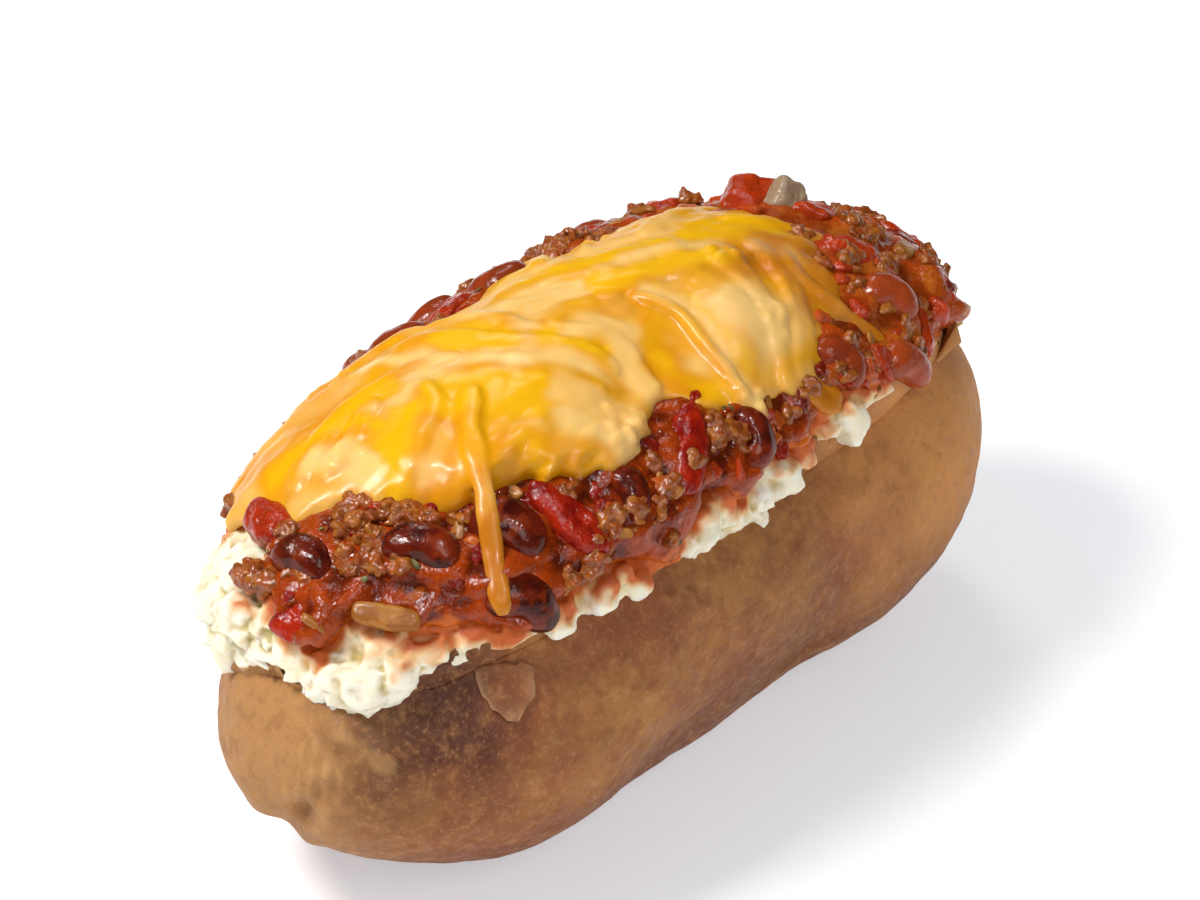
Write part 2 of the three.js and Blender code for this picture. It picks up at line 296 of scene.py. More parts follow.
def evened(mesh, values, rounds):
    """Values of the corners, one column or more, after each has drawn near its neighbours'."""
    ends = np.empty(len(mesh.edges) * 2, dtype=np.int64)
    mesh.edges.foreach_get("vertices", ends)
    a, b = ends[0::2], ends[1::2]
    smooth = np.array(values, dtype=float).reshape(len(mesh.vertices), -1)
    count = len(smooth)
    degree = np.bincount(np.concatenate((a, b)), minlength=count).reshape(-1, 1)
    for _ in range(rounds):
        total = np.empty_like(smooth)
        for n in range(smooth.shape[1]):
            total[:, n] = np.bincount(a, smooth[b, n], count) + np.bincount(b, smooth[a, n], count)
        smooth = 0.4 * smooth + 0.6 * total / degree
    return smooth


def softened(mesh, rounds):
    """The corners' places after each has moved toward its neighbours that many times."""
    return evened(mesh, corners(mesh), rounds)


def relief_of(mesh, rounds):
    """How far each corner stands out of the softened mesh: crests above 0."""
    return ((corners(mesh) - softened(mesh, rounds)) * outwards(mesh)).sum(axis=1)


def paint(mesh, name, values):
    """Writes one value a corner, which the material reads."""
    layer = mesh.attributes.new(name, "FLOAT", "POINT")
    layer.data.foreach_set("value", np.asarray(values, dtype=np.float32))


def roughen(mesh, *waves):
    """Moves each corner along its normal by noise: waves of (height, size, seed)."""
    places, normals = corners(mesh), outwards(mesh)
    lift = np.array(
        [sum(h * wave(Vector(p), size, seed) for h, size, seed in waves) for p in places]
    )
    set_corners(mesh, places + normals * lift[:, None])


def finish_piece(name, mesh, material, slot, *nodes):
    """The mesh, moved home and into metres, as a piece that stands for CAD nodes."""
    mesh.transform(Matrix.Scale(MM, 4) @ Matrix.Translation(HOME))
    mesh.name = name
    mesh.materials.clear()
    mesh.materials.append(material)
    mesh.shade_smooth()
    piece = bpy.data.objects.new(name, mesh)
    bpy.context.scene.collection.objects.link(piece)
    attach(piece, "root")
    if nodes:
        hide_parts(*nodes)


# ---------------------------------------------------------------- material helpers
def linear(colour):
    """sRGB hex to linear RGBA."""
    parts = [int(colour[n : n + 2], 16) / 255 for n in (1, 3, 5)]
    return tuple(c / 12.92 if c <= 0.04045 else ((c + 0.055) / 1.055) ** 2.4 for c in parts) + (1,)


def node(tree, kind, inputs=None, **settings):
    """Adds a node with its settings. Inputs are values or the sockets that feed them."""
    added = tree.nodes.new("ShaderNode" + kind)
    for name, value in settings.items():
        setattr(added, name, value)
    for key, value in (inputs or {}).items():
        if isinstance(value, bpy.types.NodeSocket):
            tree.links.new(value, added.inputs[key])
        else:
            added.inputs[key].default_value = value
    return added


MIX_FACTOR, MIX_A, MIX_B, MIX_RESULT = 0, 6, 7, 2  # sockets of a Mix node that mixes colours


def blended(tree, share, under, over):
    """Colour socket: over laid on under by share."""
    inputs = {MIX_FACTOR: share, MIX_A: under, MIX_B: over}
    return node(tree, "Mix", inputs, data_type="RGBA").outputs[MIX_RESULT]


def specks(tree, size, detail, roughness=0.55):
    """Noise of about the given size in mm, on Object coordinates."""
    inputs = {
        "Vector": node(tree, "TexCoord").outputs["Object"],
        "Scale": 1 / (size * MM),
        "Detail": detail,
        "Roughness": roughness,
    }
    return node(tree, "TexNoise", inputs).outputs["Fac"]


def between(tree, value, low, high, to_low=0.0, to_high=1.0):
    """The value's range from low to high stretched to another, smooth and clamped."""
    inputs = {
        "Value": value,
        "From Min": low,
        "From Max": high,
        "To Min": to_low,
        "To Max": to_high,
    }
    return node(tree, "MapRange", inputs, interpolation_type="SMOOTHSTEP").outputs["Result"]


def painted(tree, name):
    return node(tree, "Attribute", attribute_name=name).outputs["Fac"]


def times(tree, a, b):
    return node(tree, "Math", {0: a, 1: b}, operation="MULTIPLY").outputs[0]


def patches(tree, size, detail, none, full, roughness=0.55):
    """Share: patches of about the given size in mm, from none to full."""
    return between(tree, specks(tree, size, detail, roughness), none, full)


def relief(tree, none, full):
    """Share that grows with the painted relief in mm: crests above 0, hollows below."""
    return between(tree, painted(tree, "relief"), none, full)


def mottled(tree, size, detail, none, full, first, second):
    """Colour socket: soft patches of two colours."""
    return blended(tree, patches(tree, size, detail, none, full), linear(first), linear(second))


def coated(tree, colour, *coats):
    """Colour socket: coats of (where, share, tint) laid on the colour, one after another."""
    for where, share, tint in coats:
        colour = blended(tree, times(tree, where, share), colour, linear(tint))
    return colour


def new_material(name, **shader_values):
    """A material with a Principled shader set to the given values, and its node tree."""
    material = bpy.data.materials.new(name)
    material.use_nodes = True
    tree = material.node_tree
    shader = tree.nodes["Principled BSDF"]
    for key, value in shader_values.items():
        shader.inputs[key.replace("_", " ")].default_value = value
    return material, tree, shader


def wire(tree, shader, colour, heights=(), roughness=None):
    """Links the colour, the roughness, and bumps from (height socket, mm) pairs."""
    tree.links.new(colour, shader.inputs["Base Color"])
    if roughness is not None:
        tree.links.new(roughness, shader.inputs["Roughness"])
    normal = None
    for height, rise in heights:
        inputs = {"Height": height, "Distance": rise * MM, "Strength": 1.0}
        if normal is not None:
            inputs["Normal"] = normal
        normal = node(tree, "Bump", inputs).outputs["Normal"]
    if normal is not None:
        tree.links.new(normal, shader.inputs["Normal"])
        tree.links.new(normal, shader.inputs["Coat Normal"])


# ---------------------------------------------------------------- materials
def russet_skin():
    """Baked russet skin: a dry, leathery peel. Matte, netted with fine pale flecks and dark pits.
    Painted shade makes it darker and purplish under the toppings and low down, and browner in its
    creases, and a painted highlight makes its crests paler. Its near end is paler and its far end
    golden, each partly its own colour and partly painted light."""
    material, tree, shader = new_material(
        "baked_russet_skin", Specular_IOR_Level=0.25, IOR=1.45
    )
    pale, gold_light = painted(tree, "pale"), painted(tree, "gold_light")
    colour = coated(
        tree,
        mottled(tree, 22, 2, 0.35, 0.68, "#9C5A36", "#B27C42"),
        (patches(tree, 7, 3, 0.45, 0.72), 0.5, "#8E4E2E"),
        # paler at the near end: partly its own colour, partly painted light
        (pale, 0.75, "#BA8A54"),
        # golden toward the far end: partly its own colour, partly painted light
        (gold_light, 0.92, "#DE9850"),
        # painted shade: darker and purplish under the toppings
        (painted(tree, "shade_under_toppings"), 0.9, "#4C281E"),
        # painted shade: darker low down
        (painted(tree, "low"), 0.8, "#6A381E"),
        (patches(tree, 2.6, 4, 0.48, 0.7, 0.65), 0.3, "#CA8E54"),  # mottling
        (patches(tree, 3.4, 4, 0.52, 0.36, 0.6), 0.4, "#743E28"),  # blotches
        # golden again over the blotches: partly its own colour, partly painted light
        (gold_light, 0.6, "#D29050"),
        (patches(tree, 0.9, 4, 0.5, 0.72, 0.75), 0.46, "#C48C58"),  # flecks
        (patches(tree, 1.6, 2, 0.46, 0.3, 0.6), 0.26, "#84502A"),  # pits
        # painted shade: browner in the creases
        (relief(tree, 0.0, -0.22), 0.35, "#6E4628"),
        # painted highlight: paler on the crests
        (relief(tree, 0.04, 0.3), 0.3, "#D9AA6C"),
        # paler at the near end again: partly its own colour, partly painted light
        (pale, 0.25, "#B88A56"),
        (painted(tree, "rim"), 0.8, "#B88E66"),
    )
    rough = between(tree, specks(tree, 1.6, 2), 0.3, 0.7, 0.5, 0.74)
    heights = [(specks(tree, 1.5, 3, 0.6), 0.14), (specks(tree, 0.45, 3, 0.6), 0.08)]
    wire(tree, shader, colour, heights, rough)
    return material


def inner_skin():
    """The inside of torn potato skin: thin, waxy and brown, a little see-through."""
    material, tree, shader = new_material(
        "torn_skin_inside",
        Roughness=0.5,
        Subsurface_Weight=0.25,
        Subsurface_Scale=0.6 * MM,
        Subsurface_Radius=(1.0, 0.5, 0.25),
    )
    colour = mottled(tree, 2.5, 3, 0.35, 0.65, "#6A4228", "#7E5232")
    wire(tree, shader, colour, [(specks(tree, 0.7, 3), 0.08)])
    return material


def fluffed_flesh():
    """Steamed potato broken up with a fork: moist, mealy starch. Cream white, soft at its edges
    where light passes through, with painted yellow-green shade in its hollows, stained orange by
    the sauce."""
    material, tree, shader = new_material(
        "fluffed_potato_flesh",
        Roughness=0.55,
        Specular_IOR_Level=0.35,
        Subsurface_Weight=0.55,
        Subsurface_Scale=1.1 * MM,
        Subsurface_Radius=(1.0, 0.75, 0.42),
    )
    stain = painted(tree, "stain")
    colour = coated(
        tree,
        mottled(tree, 5, 2, 0.35, 0.65, "#FBF4E4", "#F7ECD0"),
        # painted shade: yellow-green in the hollows
        (relief(tree, 0.12, -0.4), 0.85, "#C4AE62"),
        (between(tree, stain, 0.0, 0.6), 0.7, "#E6A850"),
        (between(tree, stain, 0.4, 1.0), 0.95, "#C85A0E"),
    )
    wire(tree, shader, colour, [(specks(tree, 0.7, 4, 0.6), 0.1)])
    return material


def chili_sauce():
    """Tomato chili sauce: wet and full of pulp. Deep red where it lies thick, orange where it
    runs thin over the potato, with a film of oil that gives sharp glints."""
    material, tree, shader = new_material(
        "chili_sauce",
        Roughness=0.2,
        Specular_IOR_Level=0.12,
        Subsurface_Weight=0.12,
        Subsurface_Scale=0.8 * MM,
        Subsurface_Radius=(1.0, 0.3, 0.05),
        Coat_Weight=0.35,
        Coat_Roughness=0.05,
    )
    lit = painted(tree, "lit")
    fatty = patches(tree, 5, 3, 0.48, 0.62)
    colour = coated(
        tree,
        mottled(tree, 4, 3, 0.35, 0.65, "#5E1805", "#98360A"),
        (patches(tree, 1.2, 3, 0.52, 0.68, 0.6), 0.5, "#BA4C0A"),  # pulp
        # painted shade: darker in the hollows
        (relief(tree, 0.0, -0.3), 0.7, "#4E1606"),
        # painted highlight: lighter on the crests
        (relief(tree, 0.05, 0.4), 0.4, "#B4460C"),
        # painted light: brighter orange toward the far end and the back
        (lit, 0.3, "#BC5216"),
        # painted light on the fatty patches
        (times(tree, lit, fatty), 0.7, "#B8641E"),
        (between(tree, painted(tree, "thin"), 0.05, 1.0), 0.9, "#D2660E"),
    )
    wire(tree, shader, colour, [(specks(tree, 1.8, 3), 0.45), (specks(tree, 0.6, 2), 0.12)])
    return material


def kidney_bean():
    """Stewed red kidney bean: a tight glossy seed coat, wine red to brown, smeared with sauce."""
    material, tree, shader = new_material(
        "stewed_kidney_bean",
        Roughness=0.25,
        Specular_IOR_Level=0.15,
        Subsurface_Weight=0.08,
        Subsurface_Scale=0.5 * MM,
        Subsurface_Radius=(1.0, 0.25, 0.08),
        Coat_Weight=0.25,
        Coat_Roughness=0.06,
    )
    colour = coated(
        tree,
        mottled(tree, 4.5, 2, 0.35, 0.65, "#3C0E06", "#681C0A"),
        (patches(tree, 3, 3, 0.46, 0.64), 0.6, "#8E3210"),  # smears
        # painted light: brighter orange toward the far end and the back
        (painted(tree, "lit"), 0.7, "#B04A20"),
    )
    wire(tree, shader, colour, [(specks(tree, 2.4, 3), 0.3), (specks(tree, 0.7, 2), 0.05)])
    return material


def stewed_tomato():
    """Diced tomato and red pepper stewed soft: wet and see-through red, with painted shade in its
    hollows and a painted highlight that makes its crests orange.
    """
    material, tree, shader = new_material(
        "stewed_tomato",
        Roughness=0.2,
        Specular_IOR_Level=0.12,
        Subsurface_Weight=0.2,
        Subsurface_Scale=0.8 * MM,
        Subsurface_Radius=(1.0, 0.2, 0.05),
        Coat_Weight=0.35,
        Coat_Roughness=0.06,
    )
    sort = painted(tree, "sort")  # dark red at 0, orange at 1
    colour = coated(
        tree,
        mottled(tree, 3, 3, 0.35, 0.65, "#80120A", "#AA260C"),
        # painted shade: darker in the hollows
        (relief(tree, 0.0, -0.25), 0.7, "#6A1206"),
        # painted highlight: orange on the crests
        (relief(tree, 0.05, 0.4), 0.5, "#BC4412"),
        # painted light: brighter orange toward the far end and the back
        (painted(tree, "lit"), 0.4, "#C44C14"),
        (between(tree, sort, 0.45, 1.0), 0.8, "#C46420"),
        (between(tree, sort, 0.45, 0.0), 0.75, "#5C1408"),
    )
    wire(tree, shader, colour, [(specks(tree, 1.4, 3), 0.4), (specks(tree, 0.5, 2), 0.1)])
    return material


def browned_beef():
    """Browned ground beef in sauce: grains of meat, matte brown inside, shining with fat."""
    material, tree, shader = new_material(
        "browned_ground_beef",
        Roughness=0.3,
        Specular_IOR_Level=0.3,
        Coat_Weight=0.3,
        Coat_Roughness=0.08,
    )
    colour = coated(
        tree,
        mottled(tree, 2, 3, 0.35, 0.65, "#7E3C0E", "#A8621E"),
        # painted shade: darker in the hollows
        (relief(tree, 0.02, -0.3), 0.8, "#54200A"),
        (patches(tree, 1.8, 3, 0.45, 0.62), 0.55, "#9C3E0C"),  # sauce on it
    )
    wire(tree, shader, colour, [(specks(tree, 0.6, 3), 0.12)])
    return material


def stewed_onion():
    """Onion and celery cooked in chili: glassy strips that have taken up the brown of the sauce."""
    material, tree, shader = new_material(
        "stewed_onion",
        Roughness=0.42,
        Specular_IOR_Level=0.3,
        Subsurface_Weight=0.2,
        Subsurface_Scale=1.0 * MM,
        Subsurface_Radius=(1.0, 0.7, 0.35),
        Coat_Weight=0.15,
        Coat_Roughness=0.1,
    )
    colour = coated(
        tree,
        mottled(tree, 2.5, 2, 0.35, 0.65, "#96581A", "#B07428"),
        # painted shade: darker in the hollows
        (relief(tree, 0.0, -0.2), 0.6, "#7A3E12"),
        (between(tree, painted(tree, "sort"), 0.5, 1.0), 0.8, "#9C8C74"),  # bare of sauce
    )
    wire(tree, shader, colour, [(specks(tree, 0.9, 2), 0.08)])
    return material


def melted_cheddar():
    """Shredded cheddar melted into a blanket: soft fat and protein that light soaks into. Golden
    yellow, with a painted highlight that makes the crests of the shreds paler and painted shade in
    its hollows. Orange brown where it hangs thin over the chili, and as painted shade on the lower
    front of its dome."""
    material, tree, shader = new_material(
        "melted_cheddar",
        Roughness=0.34,
        Specular_IOR_Level=0.18,
        Subsurface_Weight=0.45,
        Subsurface_Scale=1.5 * MM,
        Subsurface_Radius=(1.0, 0.65, 0.12),
        Coat_Weight=0.12,
        Coat_Roughness=0.15,
    )
    colour = coated(
        tree,
        mottled(tree, 13, 2, 0.36, 0.62, "#DE9004", "#E4A008"),
        (painted(tree, "yellow"), 0.95, "#EEB402"),
        (painted(tree, "peach"), 0.92, "#F2CA7C"),
        # painted highlight: paler on the crests
        (relief(tree, 0.05, 0.55), 0.35, "#F0C468"),
        # pale where crumbs crinkle the melt, and a painted highlight on one swell
        (painted(tree, "pale"), 0.8, "#F0C680"),
        # painted shade: darker in the hollows
        (relief(tree, 0.0, -0.5), 0.45, "#CC840E"),
        # amber where the melt is thin, and painted shade on the lower front of the dome
        (between(tree, painted(tree, "thin"), 0.1, 0.95), 0.85, "#BE6E12"),
    )
    wire(tree, shader, colour, [(specks(tree, 3.5, 1), 0.12)])
    return material


def dried_herb():
    """Flakes of dried green herb and pepper, dull and dark."""
    material, tree, shader = new_material("dried_herb", Roughness=0.6)
    wire(tree, shader, mottled(tree, 1.5, 2, 0.4, 0.6, "#3F4A1C", "#6E6A2C"))
    return material


def pale_floor():
    """White acrylic over a light box: matte, and it glows a little, so that its shadows are
    soft."""
    material, tree, shader = new_material(
        "white_acrylic_floor",
        Roughness=0.9,
        Emission_Strength=0.42,
        Emission_Color=linear("#EEF6FF"),
    )
    wire(tree, shader, mottled(tree, 200, 1, 0.3, 0.7, "#F3F3F2", "#F5F5F4"))
    return material


# ---------------------------------------------------------------- camera and light
CAMERA_AZIMUTH = -51
CAMERA_ELEVATION = 35
CAMERA_DISTANCE = 900
CAMERA_TARGET = Vector((0.25, -0.3, 47.5))
CAMERA_LENS = 186.3
SENSOR_WIDTH = 36
NEAR_CLIP = 0.01


def toward(azimuth, elevation):
    a, e = math.radians(azimuth), math.radians(elevation)
    return Vector((math.sin(a) * math.cos(e), -math.cos(a) * math.cos(e), math.sin(e)))


def set_camera():
    lens = bpy.data.cameras.new("camera")
    lens.lens = CAMERA_LENS
    lens.sensor_fit = "HORIZONTAL"
    lens.sensor_width = SENSOR_WIDTH
    lens.clip_start = NEAR_CLIP
    camera = bpy.data.objects.new("camera", lens)
    back = toward(CAMERA_AZIMUTH, CAMERA_ELEVATION)
    camera.location = (CAMERA_TARGET + back * CAMERA_DISTANCE) * MM
    camera.rotation_euler = (-back).to_track_quat("-Z", "Y").to_euler()
    bpy.context.scene.collection.objects.link(camera)
    bpy.context.scene.camera = camera


# Lamps: name, azimuth and elevation it shines from, distance and size in mm, watts, colour.
LAMPS = [
    ("key", -124, 57, 620, 220, 3.0, "#FFFBF4"),
    ("fill", -28, 38, 900, 420, 1.8, "#FFFDFA"),
    ("rim", 140, 50, 700, 200, 0.7, "#FFFFFF"),
    ("glint left", -104, 62, 700, 80, 2.6, "#FFFFFF"),
    ("glint right", -8, 58, 700, 60, 1.2, "#FFFFFF"),
]
LAMPS_AIM = Vector((0, 0, 35))
SKY = "#FBFCFF"
SKY_STRENGTH = 0.27
FLOOR_HALF = 3000


def set_lamps():
    """The lamps, of which the glints show in gloss only, and an even sky that doesn't."""
    for name, azimuth, elevation, distance, size, watts, colour in LAMPS:
        lamp = bpy.data.lights.new(name, "AREA")
        lamp.shape = "DISK"
        lamp.size = size * MM
        lamp.energy = watts
        lamp.color = linear(colour)[:3]
        holder = bpy.data.objects.new(name, lamp)
        way = toward(azimuth, elevation)
        holder.location = (LAMPS_AIM + way * distance) * MM
        holder.rotation_euler = way.to_track_quat("Z", "Y").to_euler()
        holder.visible_diffuse = not name.startswith("glint")
        bpy.context.scene.collection.objects.link(holder)
    world = bpy.data.worlds.new("studio")
    bpy.context.scene.world = world
    world.use_nodes = True
    background = world.node_tree.nodes["Background"]
    background.inputs["Color"].default_value = linear(SKY)
    background.inputs["Strength"].default_value = SKY_STRENGTH
    world.cycles_visibility.glossy = False


def lay_floor():
    bm = bmesh.new()
    bmesh.ops.create_grid(bm, x_segments=1, y_segments=1, size=FLOOR_HALF)
    mesh = to_mesh(bm)
    mesh.transform(Matrix.Scale(MM, 4))
    mesh.materials.append(pale_floor())
    floor = bpy.data.objects.new("floor", mesh)
    bpy.context.scene.collection.objects.link(floor)


# ---------------------------------------------------------------- potato
SKIN_FINENESS = 7

# Eyes: where, how wide, how deep.
EYES = [
    ((-67.4, -9.2, 38.6), 1.8, 0.16), ((16.2, -24.4, 12.6), 3.2, 1.1),
    ((-28, -29.7, 32), 2.4, 0.25), ((-20, 31, 26), 2.8, 0.8), ((30, 31, 18), 2.6, 0.7),
    ((66, 8, 30), 2.6, 0.8), ((-45, 27, 34), 2.2, 0.5), ((52, 24, 36), 2.4, 0.6),
]

# Creases, and ridges where the depth is below 0: two ends, how wide, how deep.
CREASES = [
    ((-70.6, -8, 33), (-70.8, -3.2, 26.4), 1.6, 0.7),
    ((-70.8, -3.2, 26.4), (-66, 5, 18), 2.4, 1.2),
    ((-70.0, -1.5, 39), (-70.6, -3.2, 31), 1.4, 0.14),
    ((-70.4, -4.6, 38), (-70.8, -6.2, 31), 1.3, 0.16),
    ((-66.3, -1.6, 43.6), (-67.2, -8.2, 40.6), 1.5, -0.6),
    ((-67.2, -8.2, 40.6), (-64.8, -13.9, 36.8), 1.7, -0.75),
    ((-64.8, -13.9, 36.8), (-62.1, -18, 33), 2.2, -0.4),
    ((-18.3, -26.1, 45.9), (-15.2, -28.4, 40.6), 0.8, 0.9),
    ((-14.6, -27.4, 45), (-12.6, -28.8, 41), 0.7, 0.6), ((-40, -27, 36), (-31, -30, 33), 2.6, 0.3),
]

# Soft swells and hollows that only the skin shows: centre, reach, push.
SKIN_SWELLS = [
    ((-70.5, -5, 35), 4.6, 1.1), ((-57, -19, 43), 8.0, -1.0), ((-46, -23, 43), 9.0, -0.7),
    ((-28, -31, 28), 9.0, 0.8), ((45, -31, 36), 11.0, 0.5),
]


def line_distance(p, start, end):
    start, end = Vector(start), Vector(end)
    along = clamp((p - start).dot(end - start) / (end - start).length_squared)
    return (p - start.lerp(end, along)).length


def skin_relief(p):
    """How far the skin stands out at a point: swells, wrinkles, eyes and creases."""
    rise = 0.4 * wave(p, 15, 3) + 0.16 * wave(p, 6, 5) + 0.07 * wave(p, 2.6, 7)
    rise += 0.035 * wave(p, 1.3, 9)
    knobbly = bump(p, (-69, -5, 35), 7)
    rise += knobbly * (0.2 * wave(p, 3.6, 11) + 0.1 * wave(p, 1.7, 12))
    streaky = bump(p, (-70, -6, 34), 6)
    rise += streaky * 0.16 * math.sin(p.y * 3.3 + 1.2 * wave(p, 4, 13))
    rise += sum(push * bump(p, centre, reach) for centre, reach, push in SKIN_SWELLS)
    for place, width, depth in EYES:
        apart = p - Vector(place)
        away = Vector((apart.x * 0.6, apart.y, apart.z * 1.2)).length / width
        brow = 0.35 + 0.45 * clamp((p.z - place[2]) / width, -0.6, 1)
        rise += depth * (brow * math.exp(-((away - 1.3) ** 2) * 3) - math.exp(-(away**2) * 1.6))
    for start, end, width, depth in CREASES:
        away = line_distance(p, start, end) / width
        rise -= depth * (math.exp(-(away**2)) - 0.35 * math.exp(-((away - 1.8) ** 2) * 2))
    return rise


SPLIT_ROOM = 0.5  # how far the skin dips into the mound along the split
SPLIT_REACH = 20  # how far above the mound the skin is still pressed down into the split


def skin_place(d):
    p = potato_point(d)
    p += potato_out(d) * skin_relief(p)
    p.z = max(p.z, 0)
    split = mound_depths(p.x, p.y, -SPLIT_ROOM)
    if split and split[0] < p.z < split[1] + SPLIT_REACH:
        p.z = split[0]
    return p


def inside_potato(p):
    away = p - POTATO_MIDDLE
    d = Vector([away[n] / POTATO_HALF[n] for n in range(3)]).normalized()
    return away.length < (potato_point(d) - POTATO_MIDDLE).length


RIM_HALVINGS = 12


def rim_climb(around):
    """Climb at which the mound comes out of the potato, found by halving."""
    low, high = -70.0, 10.0
    for _ in range(RIM_HALVINGS):
        middle = (low + high) / 2
        if inside_potato(mound_at(around, middle)):
            low = middle
        else:
            high = middle
    return low


RIM = [rim_climb(a) for a in range(-180, 181)]


def rim_at(around):
    turn = (around + 180) % 360
    n = int(turn)
    return RIM[n] + (RIM[n + 1] - RIM[n]) * (turn - n)


# Spots of painted shade on the skin, under what hangs over it: place, reach, share.
DUSK = [
    ((-61, -14, 43.5), 6.5, 0.8), ((-55, -20, 41.5), 6.5, 0.7), ((-57, -22, 37), 6, 0.3),
    ((-66, -14, 30), 7, 0.5), (mound_at(-37, 10, 3), 6, 1.2),
]


def tone_skin(mesh):
    """Paints shade onto the skin under the toppings and low down, and where it is pale at the near
    end and golden toward the far end, both partly its own colour and partly painted light."""
    tones = {"shade_under_toppings": [], "pale": [], "low": [], "gold_light": []}
    for x, y, z in corners(mesh):
        p = Vector((x, y, z))
        # painted shade: darker low down, less so at the far end
        shade_line = z + 4 * wave(p, 9, 24) - 9 * ease(x, -30, 0)
        tones["low"].append((1 - ease(shade_line, 10, 36)) * (1 - 0.35 * ease(x, 35, 60)))
        # golden toward the far end, higher up and on the front side: partly its own colour, partly
        # painted light
        lit_end = ease(x + 5 * wave(p, 9, 26), 10, 46) * ease(z, 12, 32)
        tones["gold_light"].append(lit_end * (1 - 0.7 * ease(y, -12, 8)))
        # painted shade under the toppings, darkest just below the split and toward the front, and
        # the DUSK spots
        around, climb = mound_angles(p)
        below = rim_at(around) - climb
        uneven = below + 10 * wave(p, 12, 21) + 4 * wave(p, 4, 22)
        fade = 0.7 * (1 - ease(uneven, 8, 44)) + 0.45 * (1 - ease(uneven, 0, 14))
        near = 1 - ease(x, -56, -42)
        inner = (1 - ease(x, 10, 44)) * ease(x, -73, -62)
        front = 0.12 + (0.14 + 0.62 * near) * ease(-y, 0, 11) * inner
        dusk = sum(share * bump(p, centre, reach) for centre, reach, share in DUSK)
        tones["shade_under_toppings"].append(clamp(fade * front + dusk * (1 + 0.5 * wave(p, 5, 29))))
        # paler at the near end, higher up and on the front side: partly its own colour, partly
        # painted light
        pale_lit_end = ease(-x + 3 * wave(p, 9, 23), 54, 68)
        tones["pale"].append(clamp(pale_lit_end * ease(z, 4, 22) * ease(y, -18, -6)))
    for name, values in tones.items():
        paint(mesh, name, values)


def away_from_rim(mesh):
    """0 along the split, where the skin goes on into its torn edge, 1 from a little below it."""
    shares = []
    for place in corners(mesh):
        around, climb = mound_angles(Vector(place))
        shares.append(ease(rim_at(around) - climb, 3, 12))
    return np.array(shares)


def build_potato():
    mesh = to_mesh(ball(SKIN_FINENESS, skin_place))
    # the relief paints the creases darker and the crests paler, as painted shade and highlight, but
    # not along the split
    paint(mesh, "relief", relief_of(mesh, 6) * away_from_rim(mesh))
    tone_skin(mesh)
    tree = BVHTree.FromBMesh(to_bmesh(mesh))
    finish_piece("potato_skin", mesh, russet_skin(), "skin", "potato")
    return tree


# ---------------------------------------------------------------- torn edge of the skin
# Climb up to which the torn skin stands against the flesh, by angle round the mound.
LIP_TOP = [
    (-180, 9), (-176, 8), (-173, 3), (-165, 1), (-158, 0), (-152, -1), (-147, 3), (-142, 10),
    (-135, 15), (-130, 14), (-121, 10), (-115, 2), (-109, -1), (-102, 0), (-97, -6), (-92, -9),
    (-87, -5), (-83, 8), (-79, 14), (-75, 13), (-71, 11), (-66, 20), (-60, 15), (-54, 12),
    (-48, 13), (-40, 7), (-30, 6), (-20, 8), (-5, 9), (8, 10), (20, 4), (35, -1), (50, -1),
    (60, 0), (75, -9), (90, -10), (110, -9), (125, -14), (140, -12), (150, -14), (160, -8),
    (168, -2), (174, 6),
]

# Flaps of torn skin: from and to (around), foot and tip (climb), how far the tip leans out.
FLAPS = [
    (-183, -173, -2, 9, 1.5), (-109, -101, -9, 1, 1.0), (-96.5, -94, -12, -4, 1.2),
    (-37, -27, -5, 15, 0.6), (-20, -8, 0, 13, 1.0), (24, 37, -4, 4, 1.8), (62, 74, -12, -1, 1.9),
    (126, 139, -21, -9, 2.2), (-74, -68, 2, 15, 0.7), (-44, -30, -4, 17, 4.4),
]

LIP_FOOT = 7  # how far below the split the torn edge starts
LIP_THICK, FLAP_THICK, FLAKE_THICK, BARED_THICK = 0.5, 0.4, 0.2, 0.3
LIP_GRID, FLAP_GRID, FLAKE_GRID, BARED_GRID = (560, 10), (16, 14), (18, 22), (36, 24)

FLAKE_TOP = Vector((-46.3, -20, 46.6))
FLAKE_ACROSS = Vector((0.87, -0.42, -0.26))
FLAKE_DOWN = Vector((-0.41, -0.32, -0.85))
FLAKE_WIDE, FLAKE_LONG, FLAKE_SLANT = 4.6, 8.2, 1.5

lip_below = bmesh.new()  # the torn edge and the flesh, for the sauce that lies on them


def sheet(columns, rows, thickness, place):
    """A thin sheet, place(u, v) giving its middle for u and v from -1 to 1."""
    bm = bmesh.new()
    bmesh.ops.create_grid(bm, x_segments=columns, y_segments=rows, size=1)
    for v in bm.verts:
        v.co = place(v.co.x, v.co.y)
    bmesh.ops.solidify(bm, geom=bm.faces[:], thickness=thickness)
    bmesh.ops.recalc_face_normals(bm, faces=bm.faces[:])
    return to_mesh(bm)


def lip_at(around):
    return ragged_edge(LIP_TOP, around, (2.2, 2.4, 25), (1.0, 0.8, 26))


